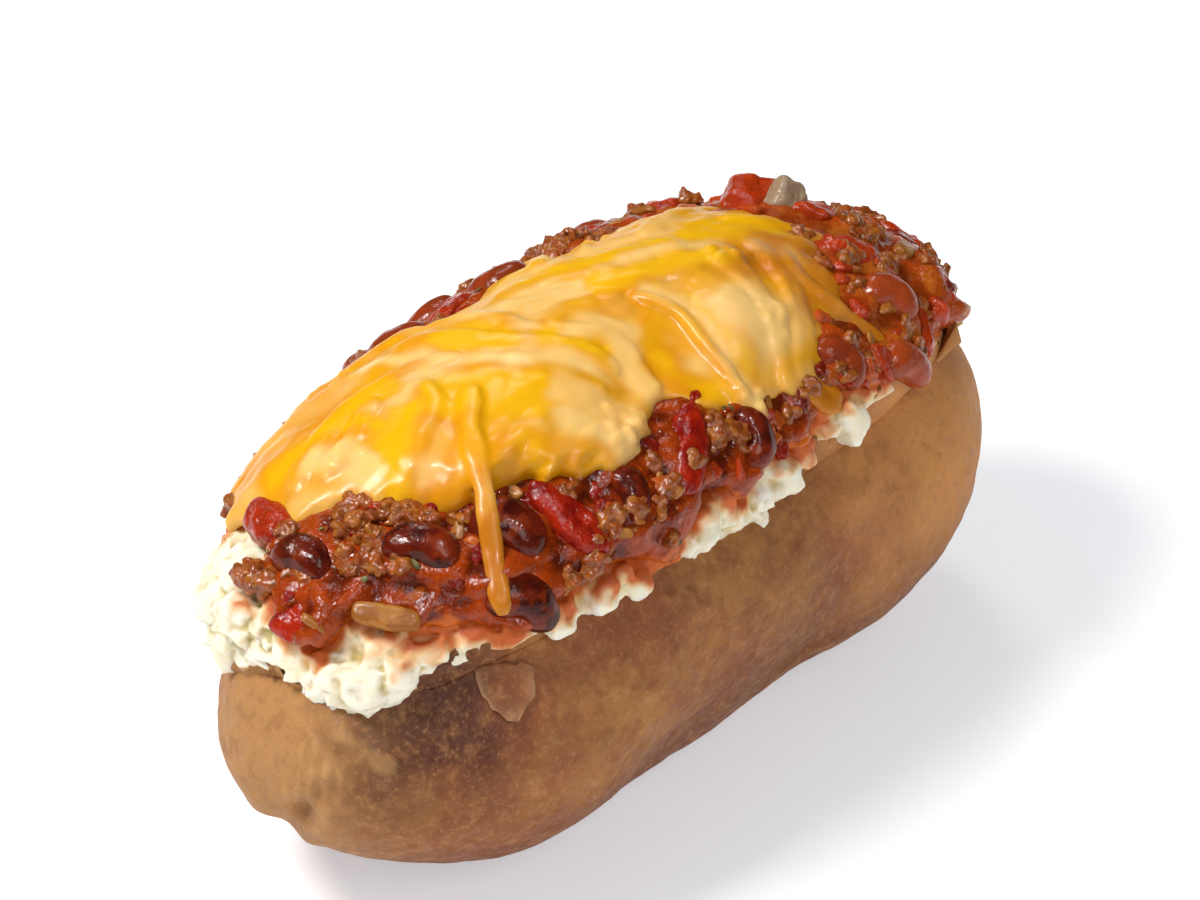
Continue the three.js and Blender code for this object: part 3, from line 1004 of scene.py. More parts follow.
def build_lip():
    """The torn edge of the skin, with its flaps."""

    def lip_place(u, v):
        around = 180 * u
        foot = rim_at(around) - LIP_FOOT
        share = (v + 1) / 2
        climb = foot + share * (max(lip_at(around), foot + 1) - foot)
        ragged = 1 + wave(direction_at(around, 0) * EDGE_ROUND, 3, 27)
        lean = 0.55 + 0.5 * share**3 * ragged
        return mound_at(around, climb, lean - 1.5 * (1 - share) ** 2)

    lip = to_bmesh(sheet(*LIP_GRID, LIP_THICK, lip_place))
    for n, (start, end, low, high, lean) in enumerate(FLAPS):

        def flap_place(u, v):
            share = (v + 1) / 2
            around = (start + end) / 2 + (end - start) / 2 * u * (1 - 0.45 * share)
            ragged = 1 - 0.5 * abs(u) ** 2.5 + 0.12 * wave(Vector((u * 3, n * 5, 0)), 1, 28)
            climb = low + (high - low) * share * ragged
            bulge = 0.4 + lean * share**1.7 + 0.25 * wave(Vector((u * 2, share * 2, n)), 1, 29)
            return mound_at(around, climb, bulge - 1.2 * (1 - share) ** 3)

        lip.from_mesh(sheet(*FLAP_GRID, FLAP_THICK, flap_place))
    mesh = to_mesh(lip)
    paint(mesh, "relief", relief_of(mesh, 8) * 0.8)
    tone_skin(mesh)
    lip_below.from_mesh(mesh)
    finish_piece("torn_skin_edge", mesh, bpy.data.materials["baked_russet_skin"], "skin")


def flake_half_width(share, more):
    """Half the flake's width, from its top at 0 to its tip at 1."""
    return FLAKE_WIDE * max(0.0, 1 - share**1.8) ** 0.6 + more


def build_flake(skin):
    """A flake of skin that has peeled off under the split and curls at its rim."""

    def flake_place(u, v):
        share = (v + 1) / 2
        sideways = u * flake_half_width(share, 0.15) + FLAKE_SLANT * share
        p = FLAKE_TOP + FLAKE_ACROSS * sideways + FLAKE_DOWN * (share * FLAKE_LONG)
        p += FLAKE_ACROSS * (0.5 * wave(p, 2.2, 33)) + FLAKE_DOWN * (0.6 * wave(p, 1.8, 34))
        on, normal, *_ = skin.find_nearest(p)
        curl = 0.16 + 0.1 * share + 0.35 * share**5 + 0.25 * abs(u) ** 4
        return on + normal * (curl + 0.15 * wave(p, 2, 30))

    flake = sheet(*FLAKE_GRID, FLAKE_THICK, flake_place)
    rim = []
    for place in corners(flake):
        away = Vector(place) - FLAKE_TOP
        share = clamp(away.dot(FLAKE_DOWN) / FLAKE_LONG)
        u = (away.dot(FLAKE_ACROSS) - FLAKE_SLANT * share) / flake_half_width(share, 0.3)
        rim.append(clamp(max(abs(u) ** 4, share**6)))
    paint(flake, "rim", rim)
    tone_skin(flake)
    finish_piece("peeled_skin_flake", flake, bpy.data.materials["baked_russet_skin"], "skin")


def build_bared_skin():
    """The inside of the skin, bare where a flap has turned over."""

    def inside_place(u, v):
        around, climb = -168 + 15 * u, -1 + 9 * (v + 1)
        p = mound_at(around, climb)
        return mound_at(around, climb, -0.15 + 0.35 * wave(p, 3, 32))

    inside = sheet(*BARED_GRID, BARED_THICK, inside_place)
    finish_piece("bared_inner_skin", inside, inner_skin(), "skin")


# ---------------------------------------------------------------- pieces of the chili
# Each lies at (around, climb), with its length, width and thickness, turned in the surface.
BEANS = [
    ((179, 39), (9.5, 6.6, 6), 4), ((-151, 42), (11, 7.2, 6.4), -25),
    ((-133, 40), (11.5, 8, 7), -50), ((-128, 21), (11.5, 7.6, 6.6), -45),
    ((-111, 33), (10, 6.4, 6), -112), ((-87, 29), (9.5, 6.2, 6), -108),
    ((-65, 33), (9.5, 6.4, 6), -67), ((-57, 18), (10.5, 6.4, 6), -40),
    ((-44, 36), (10, 7, 6.6), -60), ((108, 43), (10, 6.6, 6), -30), ((84, 46), (10, 6.6, 6), -30),
    ((104, 20), (10.5, 7, 6.4), 50), ((62, 28), (10, 6.8, 6), 15), ((36, 20), (10.5, 7, 6.4), 80),
    ((94, 33), (10, 6.6, 6), -20), ((50, 12), (10.5, 6.8, 6), -20),
]
TOMATOES = [
    ((159, 38), (9, 6.4, 5), 26), ((-171, 28), (9, 6, 4), 39), ((-122, 36), (13.5, 5.6, 5), -64),
    ((-99, 36), (14.5, 6, 5), -130), ((5, 47), (8, 5, 4.4), 8), ((25, 45), (9.6, 7, 8.6), 20),
    ((-27, 47), (7.5, 5, 4.4), -80), ((-34, 22), (9, 5.4, 4.6), -65), ((97, 47), (9, 5.5, 4.6), 5),
    ((72, 12), (9.5, 6, 4.6), -40), ((48, 36), (9, 6, 5), 60), ((-6, 25), (9, 6, 5), 30),
    ((89, 11), (9, 5.6, 4.6), 15), ((114, 10), (8.5, 6, 4.8), 20),
]
BEEF = [
    ((-169, 45), (9, 8, 6.4), -34), ((-160, 48), (7, 5.4, 5), -30), ((-9, 43), (8, 6.4, 5.4), 30),
    ((67, 51), (10.5, 7.6, 7), 15), ((168, 31), (6.5, 5, 4), -5), ((84, 27), (9, 7, 5.4), -20),
    ((12, 24), (9, 7, 5.4), 40), ((-18, 13), (8, 6, 5), 15), ((72, 37), (9, 7, 5.6), 40),
    ((28, 33), (8.5, 7, 5.6), -15),
]
ONIONS = [
    ((-152, 29), (9.5, 3.4, 3.2), -19), ((14, 47), (8, 6, 9.4), 30),
    ((-20, 33), (7, 3.6, 3.2), -28), ((94, 21), (8, 3.6, 3.2), 25),
    ((57, 45), (7.4, 3.8, 3.4), -35),
]
WEDGE = ("onion", 2)  # stands up on its edge
SUNK = 0.42  # how deep a piece sits in the sauce, as a share of its thickness
BEAN_BLUNT = 2.4
BEEF_GRAIN = (0.24, 0.3)  # size of the faces; the second value is not used
CRUMBLE_GRAINS = 90
PLAIN_SORT = 0.45  # the tint of a common piece, between dark at 0 and orange or bare at 1

pieces_below = bmesh.new()  # all pieces of the chili, for what is laid on them


def piece_frame(at, size, turn):
    """Frame of a piece that is sunk in the sauce and turned in its surface."""
    placed = mound_frame(*at, CHILI)
    placed.translation += placed.col[2].xyz * (size[2] * (0.5 - SUNK))
    return placed @ Matrix.Rotation(math.radians(turn), 4, "Z")


def bean_shape(size, seed):
    """Kidney bean: plump, bent, one end a little fatter, with its dimple and slack skin."""
    half = Vector(size) / 2

    def place(d):
        k = reach_of(d, BEAN_BLUNT)
        p = Vector((d.x * k * half.x, d.y * k * half.y, d.z * k * half.z))
        t = p.x / half.x
        fat = 1 + 0.07 * t * math.sin(seed)
        p.y *= fat
        p.z *= fat
        p.y += half.x * (0.06 - 0.2 * t * t)
        p.y += 0.5 * math.exp(-((p.x / 1.5) ** 2)) * ease(-d.y, 0.3, 0.9)
        p += d * (0.12 * wave(p, 3.2, seed) + 0.05 * wave(p, 1.4, seed + 4))
        return p

    return ball(5, place)


def diced_shape(size, seed, squareness, unevenness, pulp, fineness=5):
    """A cut piece: a ball drawn out to blunt corners, uneven, with pulp of the given height."""
    half = Vector(size) / 2

    def place(d):
        k = sum(abs(d[n]) ** squareness for n in range(3)) ** (-1 / squareness)
        k *= 1 + unevenness * wave(d, 0.8, seed)
        p = Vector((d.x * half.x * k, d.y * half.y * k, d.z * half.z * k))
        return p + d * pulp * (wave(p, 2.2, seed + 1) - 0.7 * abs(wave(p, 1.1, seed + 2)))

    return ball(fineness, place)


def grains(rng, ground, placed, count, reach):
    """Short grains of meat heaped about a place, held close to the ground."""
    bm = bmesh.new()
    for _ in range(count):
        spot = Vector((rng.gauss(0, 0.6), rng.gauss(0, 0.5), rng.gauss(0.1, 0.3))) * reach
        size = 0.4 + 0.8 * rng.random() ** 1.6
        on, normal, *_ = ground.find_nearest(placed @ spot)
        height = clamp((placed @ spot - on).dot(normal), -0.3 * size, 0.4 * size)
        half = (size * rng.uniform(0.9, 1.7), size, size * 0.8)
        turn = Matrix.Rotation(rng.uniform(0, 3), 4, random_axis(rng))
        add_bead(bm, Matrix.Translation(on + normal * height) @ turn, half)
    return bm


def crumble_shape(size, seed):
    """A crumble of ground beef: many short grains of meat stuck together."""
    rng = random.Random(seed)
    bm = bmesh.new()
    half = Vector(size) / 2
    for _ in range(CRUMBLE_GRAINS):
        d = random_axis(rng).normalized()
        reach = rng.uniform(0.3, 0.92)
        place = Vector([d[n] * half[n] * reach for n in range(3)])
        thin = rng.uniform(0.5, 0.85)
        grain = (thin * rng.uniform(1.0, 2.0), thin, thin * 0.9)
        turn = Matrix.Rotation(rng.uniform(0, math.pi), 4, random_axis(rng))
        add_bead(bm, Matrix.Translation(place) @ turn, grain)
    mesh = fused(bm, BEEF_GRAIN, 2)
    roughen(mesh, (0.22, 1.1, seed), (0.12, 0.5, seed + 3))
    return to_bmesh(mesh)


def tomato_shape(size, seed):
    return diced_shape(size, seed, squareness=2.8, unevenness=0.16, pulp=0.22)


def onion_shape(size, seed):
    return diced_shape(size, seed, squareness=4.0, unevenness=0.07, pulp=0.14)


def wedge_shape(size, seed):
    return diced_shape(size, seed, squareness=1.9, unevenness=0.16, pulp=0.3)


# Node, name of its piece, table, shape, material.
KINDS = [
    ("bean", "kidney_bean", BEANS, bean_shape, kidney_bean),
    ("tomato", "diced_tomato", TOMATOES, tomato_shape, stewed_tomato),
    ("beef", "beef_crumble", BEEF, crumble_shape, browned_beef),
    ("onion", "onion_strip", ONIONS, onion_shape, stewed_onion),
]


def lit_share(mesh):
    """Share of painted light, more toward the far end and the back, where the chili is painted a
    brighter orange.
    """
    return [max(ease(x, 4, 42), 0.6 * ease(y, 4, 18)) for x, y, _ in corners(mesh)]


def build_pieces():
    for node_name, name, table, shape, dressing in KINDS:
        material = dressing()
        for n, (at, size, turn) in enumerate(table, 1):
            wedge = (node_name, n) == WEDGE
            bm = wedge_shape(size, n) if wedge else shape(size, n * 1.7 + size[0])
            bmesh.ops.transform(bm, matrix=piece_frame(at, size, turn), verts=bm.verts)
            mesh = to_mesh(bm)
            pieces_below.from_mesh(mesh)
            paint(mesh, "relief", relief_of(mesh, 5))
            # painted light toward the far end and the back
            paint(mesh, "lit", lit_share(mesh))
            paint(mesh, "sort", [1.0 if wedge else PLAIN_SORT] * len(mesh.vertices))
            finish_piece(f"{name}_{n}", mesh, material, node_name, f"{node_name}_{n}")


# ---------------------------------------------------------------- where the sauce ends
SAUCE_EDGE = [
    (-174, 24), (-168, 20), (-164, 19), (-159, 31), (-152, 31), (-144, 25), (-137, 20), (-126, 12),
    (-121, 14), (-116, 17), (-110, 10), (-104, 0), (-97, 20), (-91, 5), (-86, 21), (-80, 14),
    (-76, 16), (-71, 25), (-67, 24), (-61, 15), (-52, 12), (-45, 15), (-36, 8), (-25, 7), (5, 10),
    (30, 22), (52, 12), (74, 26), (96, 14), (118, 16), (132, 10), (140, 28), (149, 43), (158, 42),
    (167, 31),
]

# Where the sauce stands deeper, over a piece: place, reach, push.
SAUCE_SWELLS = [
    ((-168, 27), 5.5, 2.2), ((-127, 20), 5.0, 1.3), ((-111, 30), 4.5, 1.0), ((-66, 31), 4.5, 1.0),
    ((-34, 22), 5.0, 1.6), ((-137, 33), 4.0, 1.0), ((-100, 30), 4.0, 1.0), ((-104, 22), 5.0, 1.2),
]


def sauce_edge(around):
    return ragged_edge(SAUCE_EDGE, around, (2.0, 3.4, 41), (0.6, 1.3, 42))


# ---------------------------------------------------------------- flesh
def walk_round(spacing, climb):
    """Angles round the mound that lie evenly far apart."""
    around = -180.0
    while around < 180:
        yield around
        step = (mound_at(around + 1, climb) - mound_at(around, climb)).length
        around += spacing / step


# Climb of the lowest crumbs, by angle round the mound.
FLESH_EDGE = [
    (-180, 13), (-171, 13), (-165, 11), (-159, 5), (-152, 2), (-146, 7), (-142, 12), (-135, 11),
    (-130, 9), (-121, 7), (-115, 2), (-109, 0), (-102, 2), (-97, -3), (-92, -6), (-86, -3),
    (-82, 9), (-72, 12), (-66, 16), (-60, 16), (-50, 12), (-40, 6), (-28, 8), (-15, 8), (0, 9),
    (20, 0), (40, -6), (60, -9), (80, -14), (100, -16), (120, -18), (140, -19), (150, -17),
    (160, -11), (168, -1), (174, 9),
]

# Blocks that hang out over the skin: place, size, how far out.
BLOCKS = [
    ((-153, 8), (6, 5, 4.4), 1.9), ((-147, 12), (5, 4.4, 4), 1.6),
    ((-158, 11), (5, 4.4, 3.8), 1.4), ((-151, 19), (7, 5.5, 4.4), 1.0),
    ((-142, 16), (5.5, 2.6, 2.8), 1.5), ((-163, 15), (4.4, 3.8, 3.2), 0.8),
    ((-135, 15), (4.5, 3.2, 3), 0.9), ((-125, 12), (4, 3.4, 3), 0.8),
    ((-115, 7), (4.4, 4, 3.2), 1.0), ((-105, 5), (4, 3.2, 3), 0.9),
    ((-99, 2), (4.6, 4.6, 3.6), 1.1), ((-95, 7), (5.6, 5, 4), 1.1),
    ((-94, 13), (4.8, 4.2, 3.6), 0.6), ((-91, 0), (4, 3.4, 3), 1.0),
    ((-86, 8), (5, 4.6, 3.8), 1.1), ((-85, 15), (4.4, 4.2, 3.4), 0.7),
    ((-141, 24), (4, 3.6, 3), 0.5), ((-71, 17), (6.4, 5.4, 4.6), 1.5),
    ((-66, 22), (6, 5.4, 5), 2.2), ((150, 10), (6, 6, 4), 1.8), ((164, 16), (6, 5, 4), 1.4),
    ((154, 24), (6, 5, 4), 1.4), ((146, 18), (5, 5, 4), 1.4), ((158, 4), (5, 4, 3.6), 1.4),
    ((-176, 18), (5, 4.6, 4), 0.7), ((120, -9), (6, 5, 4), 1.0), ((84, -4), (6, 5, 4), 1.0),
    ((55, -1), (5, 4, 3.4), 0.8),
]

# Rounded lumps that hang between the tongues of sauce: place, size, how far out.
LUMPS = [
    ((-97.5, 7), (5.2, 7, 5), 1.5), ((-94.5, 13), (3.6, 4, 4), 1.5),
    ((-100.5, 1), (3, 3.4, 3), 1.2), ((-83.5, 6), (6, 6.4, 5), 1.6),
    ((-87.5, 2), (3.4, 3.6, 3.4), 1.3), ((-79, 12), (4.2, 5, 4), 1.6),
    ((-70, 12), (5.6, 6.6, 5.4), 2.0), ((-66, 17), (3.6, 4, 3.6), 2.0),
    ((-115, 6), (6, 5.4, 4.6), 1.5), ((-109.5, 1), (5, 4.4, 4), 1.4),
    ((-121.5, 8), (5, 5.4, 4.4), 1.4), ((-128, 13), (5, 4.6, 4.4), 1.2),
    ((-112, 11), (3.4, 3.4, 3.4), 1.8), ((-153, 9), (6.4, 6.4, 5.4), 1.9),
    ((-146, 12), (5.4, 5.4, 5), 1.6), ((-160, 12), (5.4, 5, 4.8), 1.4),
    ((153, 14), (7, 7, 5), 1.6), ((163, 18), (6, 6, 5), 1.4),
]


def add_chunk(bm, rng, placed, size):
    """A broken block of potato: a cube with its corners knocked about, or a rougher lump."""
    shape = placed @ Matrix.Diagonal((*size, 1))
    if rng.random() < CHUNK_SHARE:
        made = bmesh.ops.create_cube(bm, size=1, matrix=shape)
    else:
        made = bmesh.ops.create_icosphere(bm, subdivisions=1, radius=0.6, matrix=shape)
    for v in made["verts"]:
        v.co += random_axis(rng, CHUNK_KNOCKED) * size[0]


FLESH_SEED = 11
FLESH_GRAIN = (0.33, 0.42)  # size of the faces; the second value is not used
CORE_FINENESS = 6
CRUMB_ROWS = 16
CRUMB_SPACING = 1.7
ROW_CLIMB = 3.2
CRUMB_SPANS = ((0.8, 1.3), (0.6, 1.0), (0.6, 0.9))  # of a crumb's size, each from and to
CHUNK_SHARE = 0.7  # how many of the crumbs are blocks
CHUNK_KNOCKED = 0.09

# The lowest crumbs along the front are larger.
FRONT, FRONT_ROWS, FRONT_CRUMBS = (-170, -55), 2, (2.6, 4.6)


def heap_crumbs():
    """Rows of broken blocks from the torn skin up to the sauce, and what hangs out of them."""
    rng = random.Random(FLESH_SEED)
    heap = bmesh.new()
    for row in range(CRUMB_ROWS):
        crumbs = bmesh.new()
        for around in walk_round(CRUMB_SPACING, 10):
            around += rng.uniform(-0.8, 0.8)
            lowest = min(edge_at(FLESH_EDGE, around) + 2.5, lip_at(around) + 1)
            climb = lowest + row * ROW_CLIMB + rng.uniform(-2.2, 2.2)
            if climb > sauce_edge(around) + 8:
                continue
            size = 1.6 + 3.6 * rng.random() ** 2.2  # many small, few large
            if row < FRONT_ROWS and FRONT[0] < around < FRONT[1]:
                size = rng.uniform(*FRONT_CRUMBS)
            over = 1 - ease(climb - rim_at(around), 1, 9)  # 1 where they hang over the skin
            recess = 0.9 * ease(around, -124, -116) * (1 - ease(around, -62, -54))
            out = rng.uniform(-0.6, 0.9) - 0.24 * size + (1.3 - recess) * over - 0.5 * recess
            placed = mound_frame(around, climb, out) @ random_turn(rng, 0.55)
            add_chunk(crumbs, rng, placed, [size * rng.uniform(*span) for span in CRUMB_SPANS])
        heap.from_mesh(to_mesh(crumbs))
    for at, size, out in BLOCKS:
        placed = mound_frame(*at, out - 0.3 * size[2]) @ random_turn(rng, 0.25)
        add_chunk(heap, rng, placed, size)
    for n, (at, size, out) in enumerate(LUMPS):
        lump = diced_shape(size, n * 2.3, squareness=2.9, unevenness=0.22, pulp=0.3, fineness=3)
        bmesh.ops.transform(lump, matrix=mound_frame(*at, out), verts=lump.verts)
        heap.from_mesh(to_mesh(lump))
    return heap


def core_place(d):
    """The flesh behind the crumbs, a little inside the bare mound."""
    return mound_point(d, -1.0 + 0.5 * wave(mound_point(d), 4, 35))


def build_flesh():
    crumbs = fused(heap_crumbs(), FLESH_GRAIN, 2, 0.5)
    roughen(crumbs, (0.13, 0.8, 31), (0.22, 3.2, 33))
    bm = to_bmesh(crumbs)
    bm.from_mesh(to_mesh(ball(CORE_FINENESS, core_place)))
    mesh = to_mesh(bm)
    paint(mesh, "relief", relief_of(mesh, 16))
    stain = []
    for place in corners(mesh):
        p = Vector(place)
        around, climb = mound_angles(p)
        stain.append(clamp(1 - (sauce_edge(around) - climb + 4 * wave(p, 2.0, 37)) / 9))
    paint(mesh, "stain", stain)
    lip_below.from_mesh(mesh)
    finish_piece("fluffed_flesh", mesh, fluffed_flesh(), "flesh", "flesh")


# ---------------------------------------------------------------- sauce and cheese
def rounded(share):
    """Height share of a rounded edge, 0 at the edge and 1 from there on."""
    s = clamp(share)
    return math.sqrt(1 - (1 - s) ** 2)


def underside(around, climb, end, depth):
    """A place under a layer: directions below its edge, turned back up under it."""
    back = end + (end - climb) / (end + 90) * (90 - end)
    return mound_at(around, back, depth)


SAUCE_FINENESS = 7
SAUCE_UNDER = -1.6  # where its underside runs, below the top of the flesh
FILM_UNDER = 0.4
FILM_THICK = 0.5
WETS_REACH = 4  # how near a piece has to be for the sauce to climb it
PROBE_FROM, PROBE_REACH = 9, 13  # from how far out the flesh is felt for, and how far


def build_sauce():
    """Sauce over the flesh and the torn skin: a film where it has run, a pool between pieces."""
    pieces = BVHTree.FromBMesh(pieces_below)
    under = BVHTree.FromBMesh(lip_below)
    films = []
    swells = [(mound_at(*at), reach, push) for at, reach, push in SAUCE_SWELLS]

    def place(d):
        around, climb = angles_of(d)
        end = sauce_edge(around)
        above = climb - end
        if above < 0:
            films.append(FILM_UNDER)
            return underside(around, climb, end, SAUCE_UNDER)
        base = mound_point(d)
        out = (mound_point(d, 1) - base).normalized()
        hit = under.ray_cast(base + out * PROBE_FROM, -out, PROBE_REACH)
        floor = PROBE_FROM - hit[3] if hit[0] is not None else 0
        depth = CHILI + 0.9 * wave(base, 4.2, 43) + 0.55 * wave(base, 1.9, 45)
        height = max(rounded(above / 11) * depth, floor + FILM_THICK * rounded(above / 2.5))
        near = pieces.find_nearest(base + out * height, WETS_REACH)
        if near[0] is not None:
            height += 1.7 * math.exp(-near[3] / 1.4) * rounded(above / 3)
        for centre, reach, push in swells:
            height += push * bump(base, centre, reach) * rounded(above / 4)
        films.append(height - floor)
        return base + out * height

    mesh = to_mesh(ball(SAUCE_FINENESS, place))
    set_corners(mesh, softened(mesh, 2))
    roughen(mesh, (0.14, 1.1, 47), (0.3, 2.6, 49))
    paint(mesh, "thin", [1 - ease(film, 0.35, 1.9) for film in films])
    paint(mesh, "relief", relief_of(mesh, 12))
    # painted light toward the far end and the back
    paint(mesh, "lit", lit_share(mesh))
    plain = mesh.copy()
    finish_piece("chili_sauce", mesh, chili_sauce(), "sauce", "chili")
    return plain


def cheese_edge(around):
    return ragged_edge(CHEESE_EDGE, around, (2.6, 6, 51), (2.4, 2.2, 52))


# Swells and hollows of the blanket: place, reach, push.
CHEESE_SWELLS = [
    ((-142, 58), 14, 1.5), ((-105, 62), 6, -1.8), ((-68, 60), 6.0, 2.4), ((15, 76), 15, 0.6),
    ((152, 46), 7, 0.6), ((-84, 66), 5, -0.8), ((-35, 62), 7, -0.8), ((118, 60), 9, 0.6),
]

CHEESE_UNDER = 2.2  # where the blanket's underside runs, above the flesh


def blanket_place(d):
    """The blanket: thin over its edge, full on top, and bulging where it has slid forward."""
    around, climb = angles_of(d)
    end = cheese_edge(around)
    if climb < end:
        return underside(around, climb, end, CHEESE_UNDER)
    above = climb - end
    p = mound_at(around, climb, CHEESE_TOP)
    thick = CHEESE + 0.5 * wave(p, 11, 53) + 0.25 * wave(p, 4, 55)
    for at, reach, push in CHEESE_SWELLS:
        thick += push * bump(p, mound_at(*at, CHEESE_TOP), reach)
    dome = bump(p, mound_at(-130, 50, CHEESE_TOP), 26)
    bulge = 1.4 * dome * math.exp(-(((above - 8) / 5) ** 2))
    thick *= 0.62 + 0.38 * max(dome, ease(above, 4, 22))
    layer = CHEESE_UNDER + rounded(above / 7) * (CHILI - CHEESE_UNDER + thick) + bulge - 0.4
    return mound_at(around, climb, layer)


# Shreds that show one by one: path in (around, climb), width, how far they stand out.
SHREDS = [
    ([(125, 50), (135, 62), (155, 71), (-163, 76), (-126, 73), (-110, 65)], 4.2, 0.6),
    ([(147, 73), (179, 80), (-127, 79), (-99, 76)], 4.4, 0.6),
    ([(162, 80), (140, 85), (-41, 88), (-18, 85)], 4.0, 0.7),
    ([(101, 63), (89, 69), (72, 71), (19, 79)], 5.2, 0.6),
    ([(62, 81), (16, 80), (-17, 73), (-22, 66)], 5.0, 0.6),
    ([(80, 63), (52, 73), (26, 73), (8, 68)], 4.4, 0.6),
    ([(-46, 81), (-66, 70), (-78, 58), (-82, 47), (-84, 38)], 1.9, 1.2),
    ([(-104, 74), (-102, 63), (-100, 53)], 4.6, 0.8),
    ([(159, 58), (176, 57), (-176, 53), (-169, 48)], 5.2, 0.5),
    ([(150, 64), (147, 52), (150, 43), (160, 38)], 4.4, 0.7),
    ([(153, 51), (161, 49), (165, 42)], 4.2, 0.6),
    ([(91, 67), (73, 74), (47, 78), (0, 82)], 4.0, 0.6),
    ([(116, 69), (106, 77), (81, 83)], 4.4, 0.5),
]

# Shreds that have run over the chili: thin, amber, with a drop at their lower end.
DRIPS = [
    ([(-172, 62), (-157, 54), (-145, 44), (-139, 34), (-136, 26), (-134, 19)], 3.4, 0.9),
    ([(-14, 66), (-34, 62), (-55, 54), (-67, 43), (-74, 30)], 5.0, 0.7),
    ([(-16, 58), (-36, 53), (-53, 47), (-66, 38), (-71, 29), (-69, 19)], 4.6, 0.8),
    ([(-26, 53), (-42, 48), (-50, 37), (-53, 24)], 2.6, 0.8),
    ([(-84, 46), (-84, 38), (-83, 30)], 3.0, 0.7), ([(12, 56), (-2, 50), (-14, 44)], 3.4, 0.7),
    ([(130, 40), (132, 26), (136, 16)], 3.4, 0.8), ([(116, 50), (121, 36), (123, 24)], 3.2, 0.8),
    ([(80, 60), (74, 50), (76, 38)], 3.2, 0.8), ([(36, 64), (34, 54), (30, 42)], 3.2, 0.8),
]

# Streaks of the melt, yellow above one half and pale below: path, width, tone.
STREAKS = [
    ([(125, 50), (135, 62), (155, 71), (-163, 76), (-126, 73), (-110, 65)], 1.8, 0.05),
    ([(135, 67), (164, 77), (-142, 79), (-113, 75)], 2.8, 1.0),
    ([(163, 66), (-171, 69), (-143, 69)], 8.0, 0.95),
    ([(-178, 65), (-154, 66), (-138, 64)], 5.0, 0.85),
    ([(160, 62), (155, 63), (156, 66)], 3.6, 0.15),
    ([(170, 62), (178, 58), (-171, 54), (-161, 47)], 4.2, 1.0),
    ([(156, 49), (167, 53), (179, 54), (-174, 53)], 6.0, 0.1),
    ([(149, 51), (153, 55), (165, 58)], 1.8, 0.95),
    ([(-129, 66), (-116, 60), (-107, 49)], 7.0, 0.2),
    ([(-124, 57), (-114, 50), (-106, 41)], 5.0, 0.1),
    ([(62, 73), (33, 75), (12, 71), (-2, 63)], 4.0, 0.95),
    ([(47, 84), (-2, 80), (-20, 73), (-27, 66)], 4.6, 1.0),
    ([(52, 80), (14, 77), (-10, 70)], 1.8, 0.1), ([(132, 67), (152, 77), (-165, 82)], 3.4, 0.95),
    ([(116, 69), (106, 77), (81, 83)], 4.0, 0.1), ([(91, 67), (73, 74), (47, 78)], 3.0, 0.9),
    ([(-148, 81), (-108, 82), (-92, 77)], 3.6, 0.15),
    ([(-69, 63), (-63, 58), (-69, 53)], 8.4, 0.05),
    ([(-46, 81), (-66, 70), (-78, 58), (-82, 47), (-84, 38)], 1.6, 0.0),
    ([(-60, 72), (-74, 62), (-78, 52)], 2.4, 0.9), ([(-21, 64), (-30, 58)], 3.0, 0.0),
    ([(150, 60), (146, 50), (150, 42)], 2.6, 0.8),
    ([(-100, 76), (-103, 68), (-101, 58), (-98, 50)], 5.0, 0.15),
    ([(-92, 66), (-90, 56), (-88, 46)], 2.6, 0.85),
    ([(100, 60), (84, 66), (62, 68), (30, 70)], 3.0, 0.2),
    ([(-176, 78), (140, 80), (100, 80)], 2.6, 0.2), ([(110, 56), (92, 58), (70, 60)], 3.0, 0.9),
    ([(20, 66), (2, 62), (-14, 58)], 3.0, 0.85),
]

CHEESE_SEED = 23
BLANKET_FINENESS = 6
DROP = 0.2  # how much a shred that has run widens at its lower end
STREWN_SHREDS = 30
CHEESE_GRAIN = (0.42, 0.55)  # size of the faces; the second value is not used

# Domes of the blanket on which no shred shows: centre, reach.
SMOOTH_DOMES = [((-36, -8, 60), 15), ((12, -12, 60), 9)]

# Where the melt is crinkled by small bubbles and crumbs: place, reach over the surface, how many.
CRINKLES = [
    ((-110, 46), 4.2, 30), ((-60, 50), 3.0, 14), ((-84, 37), 3, 12), ((165, 46), 2.6, 10),
    ((-24, 62), 2.6, 12), ((60, 58), 4, 14), ((126, 36), 4, 16),
]


def spline(points, spacing):
    """Points evenly along a smooth line through the given ones."""
    path = []
    for n in range(len(points) - 1):
        a, b = points[n], points[n + 1]
        before = points[n - 1] if n else a - (b - a)
        after = points[n + 2] if n + 2 < len(points) else b + (b - a)
        slope = b - before
        bend = 2 * before - 5 * a + 4 * b - after
        twist = 3 * a - before - 3 * b + after
        steps = max(2, int((b - a).length / spacing))
        for s in range(steps):
            t = s / steps
            path.append(0.5 * (2 * a + slope * t + bend * t * t + twist * t * t * t))
    return path + [points[-1]]


def on_cheese(path, spacing):
    """Points evenly along a path of (around, climb) over the blanket."""
    return spline([mound_at(*at, CHEESE_TOP) for at in path], spacing)


DROP_FROM, DROP_REACH = 20, 24  # from how far out a point drops, and how far

BEAD_SPACING = 0.6
BEAD_SUNK = 0.85  # how deep the beads of a shred sit in the melt
BEAD_APART = 0.32  # how far two beads lie either side of the shred's line, in half widths
BRIDGED = 7  # over how many beads each way a shred bridges a dip
STRAIGHTENED = 8  # how many times it draws straight


def drop_on(tree, p):
    """Where a point lands on what lies below it, seen square to the mound, and the way out."""
    around, climb = mound_angles(p)
    base = mound_at(around, climb)
    out = (mound_at(around, climb, 14) - base).normalized()
    hit = tree.ray_cast(base + out * DROP_FROM, -out, DROP_REACH)
    return (hit[0] if hit[0] is not None else mound_at(around, climb, CHILI)), out


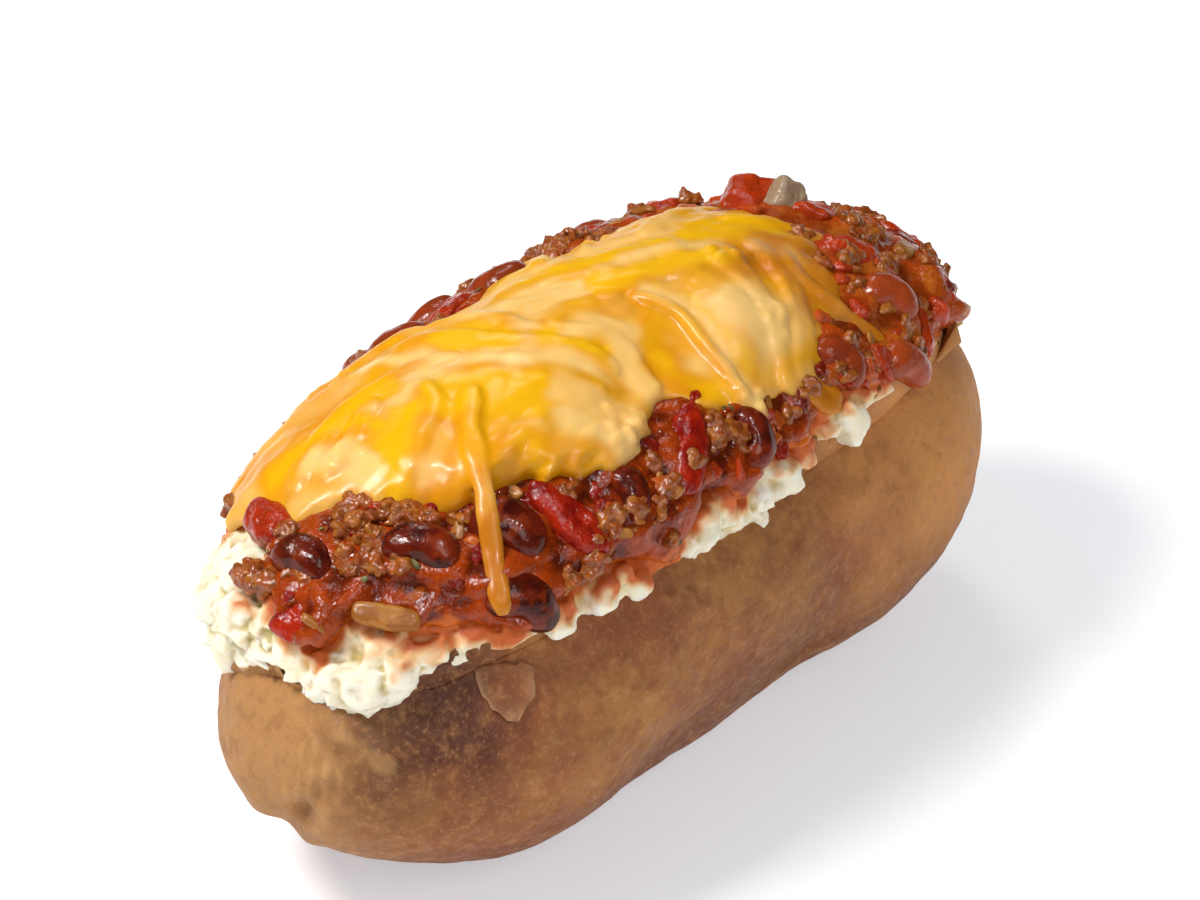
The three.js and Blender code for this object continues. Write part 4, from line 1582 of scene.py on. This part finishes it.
def lay_shred(tree, path, width, stand, drop=0.0):
    """A soft shred laid along a path: overlapping flattened beads that the melt fuses."""
    landed = [drop_on(tree, p) for p in on_cheese(path, BEAD_SPACING)]
    heights = [(spot - mound_at(*mound_angles(spot))).length for spot, _ in landed]
    count = len(landed)
    line = []
    for n, (spot, out) in enumerate(landed):
        around_it = heights[max(0, n - BRIDGED) : n + BRIDGED + 1]
        line.append(spot + out * max(0, sum(around_it) / len(around_it) - heights[n]))
    for _ in range(STRAIGHTENED):
        inner = [(line[n - 1] + 2 * line[n] + line[n + 1]) / 4 for n in range(1, count - 1)]
        line = [line[0]] + inner + [line[-1]]
    bm = bmesh.new()
    for n, spot in enumerate(line):
        out = landed[n][1]
        along = (line[min(n + 1, count - 1)] - line[max(n - 1, 0)]).normalized()
        left = count - 1 - n
        taper = 0.5 + 0.5 * rounded((n if drop else min(n, left)) / count * 6)
        if drop:
            taper *= rounded((left + 1) / 3) + drop * math.exp(-(((left - 3) / 3) ** 2))
        wide = width / 2 * taper * (1 + 0.2 * wave(spot, 5, 61))
        laid = Matrix((along, out.cross(along).normalized(), out)).transposed().to_4x4()
        laid.translation = spot + out * (stand - BEAD_SUNK)
        bead = (1.1, 0.68 * wide, 0.9 * min(taper, 1.1))
        for shift in (-BEAD_APART, BEAD_APART):
            add_bead(bm, laid @ Matrix.Translation((0, shift * wide, 0)), bead)
    return to_mesh(bm)


def strewn_shreds(rng, tree):
    """Shreds strewn over the blanket, most of them across it, clear of its smooth domes."""
    level = Vector((0.63, -0.78, 0))
    shreds = []
    for _ in range(STREWN_SHREDS):
        middle = Vector((rng.uniform(-52, 46), rng.uniform(-17, 17), 60))
        if any((middle - Vector(centre)).length < reach for centre, reach in SMOOTH_DOMES):
            continue
        way = Matrix.Rotation(rng.gauss(0, 0.4), 3, "Z") @ level
        half = rng.uniform(5, 12)
        bend = Vector((-way.y, way.x, 0)) * rng.uniform(-3, 3)
        path = []
        for t in (-1, -0.3, 0.4, 1):
            p = middle + way * half * t + bend * (1 - t * t)
            depths = mound_depths(p.x, p.y, CHEESE_TOP)
            if depths:
                p.z = depths[1]
                around, climb = mound_angles(p)
                if climb > cheese_edge(around) + 4:
                    path.append((around, climb))
        if len(path) > 2:
            shreds.append(lay_shred(tree, path, rng.uniform(3.4, 6.4), rng.uniform(0.0, 0.45)))
    return shreds


def crinkle(rng, blanket):
    """Small beads in the melt where it is crinkled."""
    tree = BVHTree.FromBMesh(blanket)
    for at, reach, count in CRINKLES:
        beads = bmesh.new()
        middle = mound_at(*at, CHEESE_TOP)
        for _ in range(count):
            spot, out = drop_on(tree, middle + random_axis(rng, 0.55) * reach)
            size = rng.uniform(0.6, 1.3)
            half = (size * rng.uniform(0.8, 2.0), size, size)
            placed = Matrix.Translation(spot - out * 0.45 * size) @ random_turn(rng, 1.5)
            add_bead(beads, placed, half)
        blanket.from_mesh(to_mesh(beads))


def tone_cheese(mesh):
    """Paints where the melt is thin and amber, and painted shade on the lower front of the dome;
    where crumbs make it pale, and a painted highlight on one swell; and its streaks.
    """
    streaks = [
        (p, width / 2, tone) for path, width, tone in STREAKS for p in on_cheese(path, 0.8)
    ]
    nearby = KDTree(len(streaks))
    for n, (p, _, _) in enumerate(streaks):
        nearby.insert(p, n)
    nearby.balance()
    # the front dome, whose lower front is painted orange brown as painted shade
    front = mound_at(-126, 50, CHEESE_TOP)
    crumbly = [(mound_at(*at, CHEESE_TOP), reach * 1.1, 0.55) for at, reach, _ in CRINKLES]
    # painted highlight: this swell painted pale in full
    crumbly.append((mound_at(-67, 60, CHEESE_TOP), 6.0, 1.0))
    thin, pale, tone = [], [], []
    for place in corners(mesh):
        p = Vector(place)
        around, climb = mound_angles(p)
        above = climb - cheese_edge(around)
        amber = ease(p.x + 6 * wave(p, 5, 63), 18, 30) * ease(-p.y + 3 * wave(p, 4, 64), -4, 8)
        thin.append(
            max(
                1 - ease(above, -3, 9),
                0.8 * amber * (0.9 + 0.25 * wave(p, 4, 68)),
                0.62 * bump(p, front, 24) * (1 - ease(above, 2, 20)),
            )
        )
        pale.append(clamp(sum(share * bump(p, centre, reach) for centre, reach, share in crumbly)))
        _, n, away = nearby.find(p + Vector((wave(p, 4, 65), wave(p, 4, 66), 0)) * 0.8)
        _, half, streak = streaks[n]
        hold = 1 - ease(away, half * 0.4, half * 1.5 + 0.8)
        tone.append(0.5 + hold * (streak - 0.5) + 0.25 * (1 - hold) * wave(p, 5, 67))
    tone = np.array(tone)
    paint(mesh, "thin", thin)
    paint(mesh, "pale", pale)
    paint(mesh, "peach", evened(mesh, np.clip((0.5 - tone) / 0.4, 0, 1), 5).ravel())
    paint(mesh, "yellow", evened(mesh, np.clip((tone - 0.5) / 0.35, 0, 1), 5).ravel())


def build_cheese():
    rng = random.Random(CHEESE_SEED)
    blanket = ball(BLANKET_FINENESS, blanket_place)
    under = blanket.copy()
    under.from_mesh(to_mesh(pieces_below.copy()))
    tree = BVHTree.FromBMesh(under)
    shreds = [lay_shred(tree, *shred) for shred in SHREDS]
    shreds += [lay_shred(tree, *drip, DROP) for drip in DRIPS]
    for shred in shreds + strewn_shreds(rng, tree):
        blanket.from_mesh(shred)
    crinkle(rng, blanket)
    mesh = fused(blanket, CHEESE_GRAIN, 7)
    roughen(mesh, (0.08, 2.2, 57))
    paint(mesh, "relief", relief_of(mesh, 24))
    tone_cheese(mesh)
    finish_piece("melted_cheese", mesh, melted_cheddar(), "cheese", "cheese")


# ---------------------------------------------------------------- small things in the chili
BITS_SEED = 71
TOMATO_BITS, BEEF_HEAPS, ONION_BITS, HERB_FLAKES = 140, 105, 26, 44

# Length, width and thickness of the bits, each from and to.
TOMATO_SPANS = ((1.8, 4.6), (1.4, 3.0), (1.3, 2.4))
ONION_SPANS = ((2.0, 4.4), (1.2, 2.0), (0.8, 1.3))

ON_PIECE = 0.35  # a bit this near to a piece of the chili lies on it
SLID_OFF = 0.85  # share of those that have slid off

HEAPS_ON_CRUMBLE = 7  # heaps of grains about each crumble, and the grains in one
GRAINS_ON_CRUMBLE = 9


def strewn(rng, tree, pieces, count, low=3.0, high=5.0):
    """Frames for small bits in the sauce, from above its edge to under the cheese's."""
    made = 0
    while made < count:
        around = rng.uniform(-180, 180)
        if rng.random() > 0.45 + 0.55 * abs(math.sin(math.radians(around))):  # fewer at the ends
            continue
        climb = rng.uniform(sauce_edge(around) + low, cheese_edge(around) + high)
        spot, out = drop_on(tree, mound_at(around, climb, CHILI))
        near = pieces.find_nearest(spot, 3)
        on_piece = near[0] is not None and near[3] < ON_PIECE
        if on_piece and rng.random() < SLID_OFF:
            continue
        placed = frame_on(spot, out.orthogonal().normalized(), out)
        yield placed @ Matrix.Rotation(rng.uniform(0, math.tau), 4, "Z") @ random_turn(rng, 0.25)
        made += 1


def sunk(placed, depth):
    """The frame, moved in along its Z."""
    return placed @ Matrix.Translation((0, 0, -depth))


def build_tomato_bits(rng, tree, pieces):
    tomato = bmesh.new()
    sorts = []
    for n, placed in enumerate(strewn(rng, tree, pieces, TOMATO_BITS)):
        grow = 1 + 0.7 * ease(placed.translation.x, 15, 45)
        size = [rng.uniform(*span) * grow for span in TOMATO_SPANS]
        fineness = 4 if size[0] > 3 else 3
        bit = diced_shape(size, n * 1.3, 3.4, 0.2, pulp=0.16, fineness=fineness)
        bmesh.ops.transform(bit, matrix=sunk(placed, 0.3 * size[2]), verts=bit.verts)
        sorts += [clamp(PLAIN_SORT + rng.gauss(0, 0.28))] * len(bit.verts)
        tomato.from_mesh(to_mesh(bit))
    mesh = to_mesh(tomato)
    paint(mesh, "relief", relief_of(mesh, 4))
    paint(mesh, "sort", sorts)
    # painted light toward the far end and the back
    paint(mesh, "lit", lit_share(mesh))
    finish_piece("tomato_bits", mesh, bpy.data.materials["stewed_tomato"], "tomato")


def build_beef_grains(rng, tree, pieces, sauce):
    """Grains strewn in small heaps on the sauce, and round the crumbles."""
    both = to_bmesh(sauce)
    both.from_mesh(to_mesh(pieces_below.copy()))
    ground = BVHTree.FromBMesh(both)
    beef = bmesh.new()
    for placed in strewn(rng, tree, pieces, BEEF_HEAPS, 4.0, -2.0):
        heap = grains(rng, tree, placed, rng.randint(5, 22), rng.uniform(0.8, 2.2))
        beef.from_mesh(to_mesh(heap))
    for at, size, turn in BEEF:
        for _ in range(HEAPS_ON_CRUMBLE):
            shift = Matrix.Translation([rng.gauss(0, 0.3) * size[n] for n in range(2)] + [0.2])
            placed = piece_frame(at, size, turn) @ shift
            beef.from_mesh(to_mesh(grains(rng, ground, placed, GRAINS_ON_CRUMBLE, 1.6)))
    mesh = fused(beef, BEEF_GRAIN, 3, 0.7)
    roughen(mesh, (0.22, 1.1, 73), (0.12, 0.5, 75))
    paint(mesh, "relief", relief_of(mesh, 5))
    finish_piece("beef_grains", mesh, bpy.data.materials["browned_ground_beef"], "beef")


def build_onion_bits(rng, tree, pieces):
    onion = bmesh.new()
    for n, placed in enumerate(strewn(rng, tree, pieces, ONION_BITS)):
        size = [rng.uniform(*span) for span in ONION_SPANS]
        bit = diced_shape(size, n * 1.9, 3.2, 0.16, pulp=0.06, fineness=3)
        bmesh.ops.transform(bit, matrix=sunk(placed, 0.15 * size[2]), verts=bit.verts)
        onion.from_mesh(to_mesh(bit))
    mesh = to_mesh(onion)
    paint(mesh, "relief", relief_of(mesh, 4))
    finish_piece("onion_bits", mesh, bpy.data.materials["stewed_onion"], "onion")


def build_herb_flakes(rng, tree, pieces):
    herb = bmesh.new()
    for placed in strewn(rng, tree, pieces, HERB_FLAKES):
        half = (rng.uniform(0.4, 1.0), rng.uniform(0.25, 0.5), 0.1)
        add_bead(herb, sunk(placed, -0.12), half)
    finish_piece("herb_flakes", to_mesh(herb), dried_herb(), "onion")


def build_bits(sauce):
    rng = random.Random(BITS_SEED)
    tree = BVHTree.FromBMesh(to_bmesh(sauce))
    pieces = BVHTree.FromBMesh(pieces_below)
    build_tomato_bits(rng, tree, pieces)
    build_beef_grains(rng, tree, pieces, sauce)
    build_onion_bits(rng, tree, pieces)
    build_herb_flakes(rng, tree, pieces)


# ---------------------------------------------------------------- everything, in order
set_camera()
set_lamps()
lay_floor()
bpy.context.scene.view_settings.view_transform = "Standard"
skin = build_potato()
build_lip()
build_flake(skin)
build_bared_skin()
build_flesh()
build_pieces()
sauce = build_sauce()
build_bits(sauce)
build_cheese()
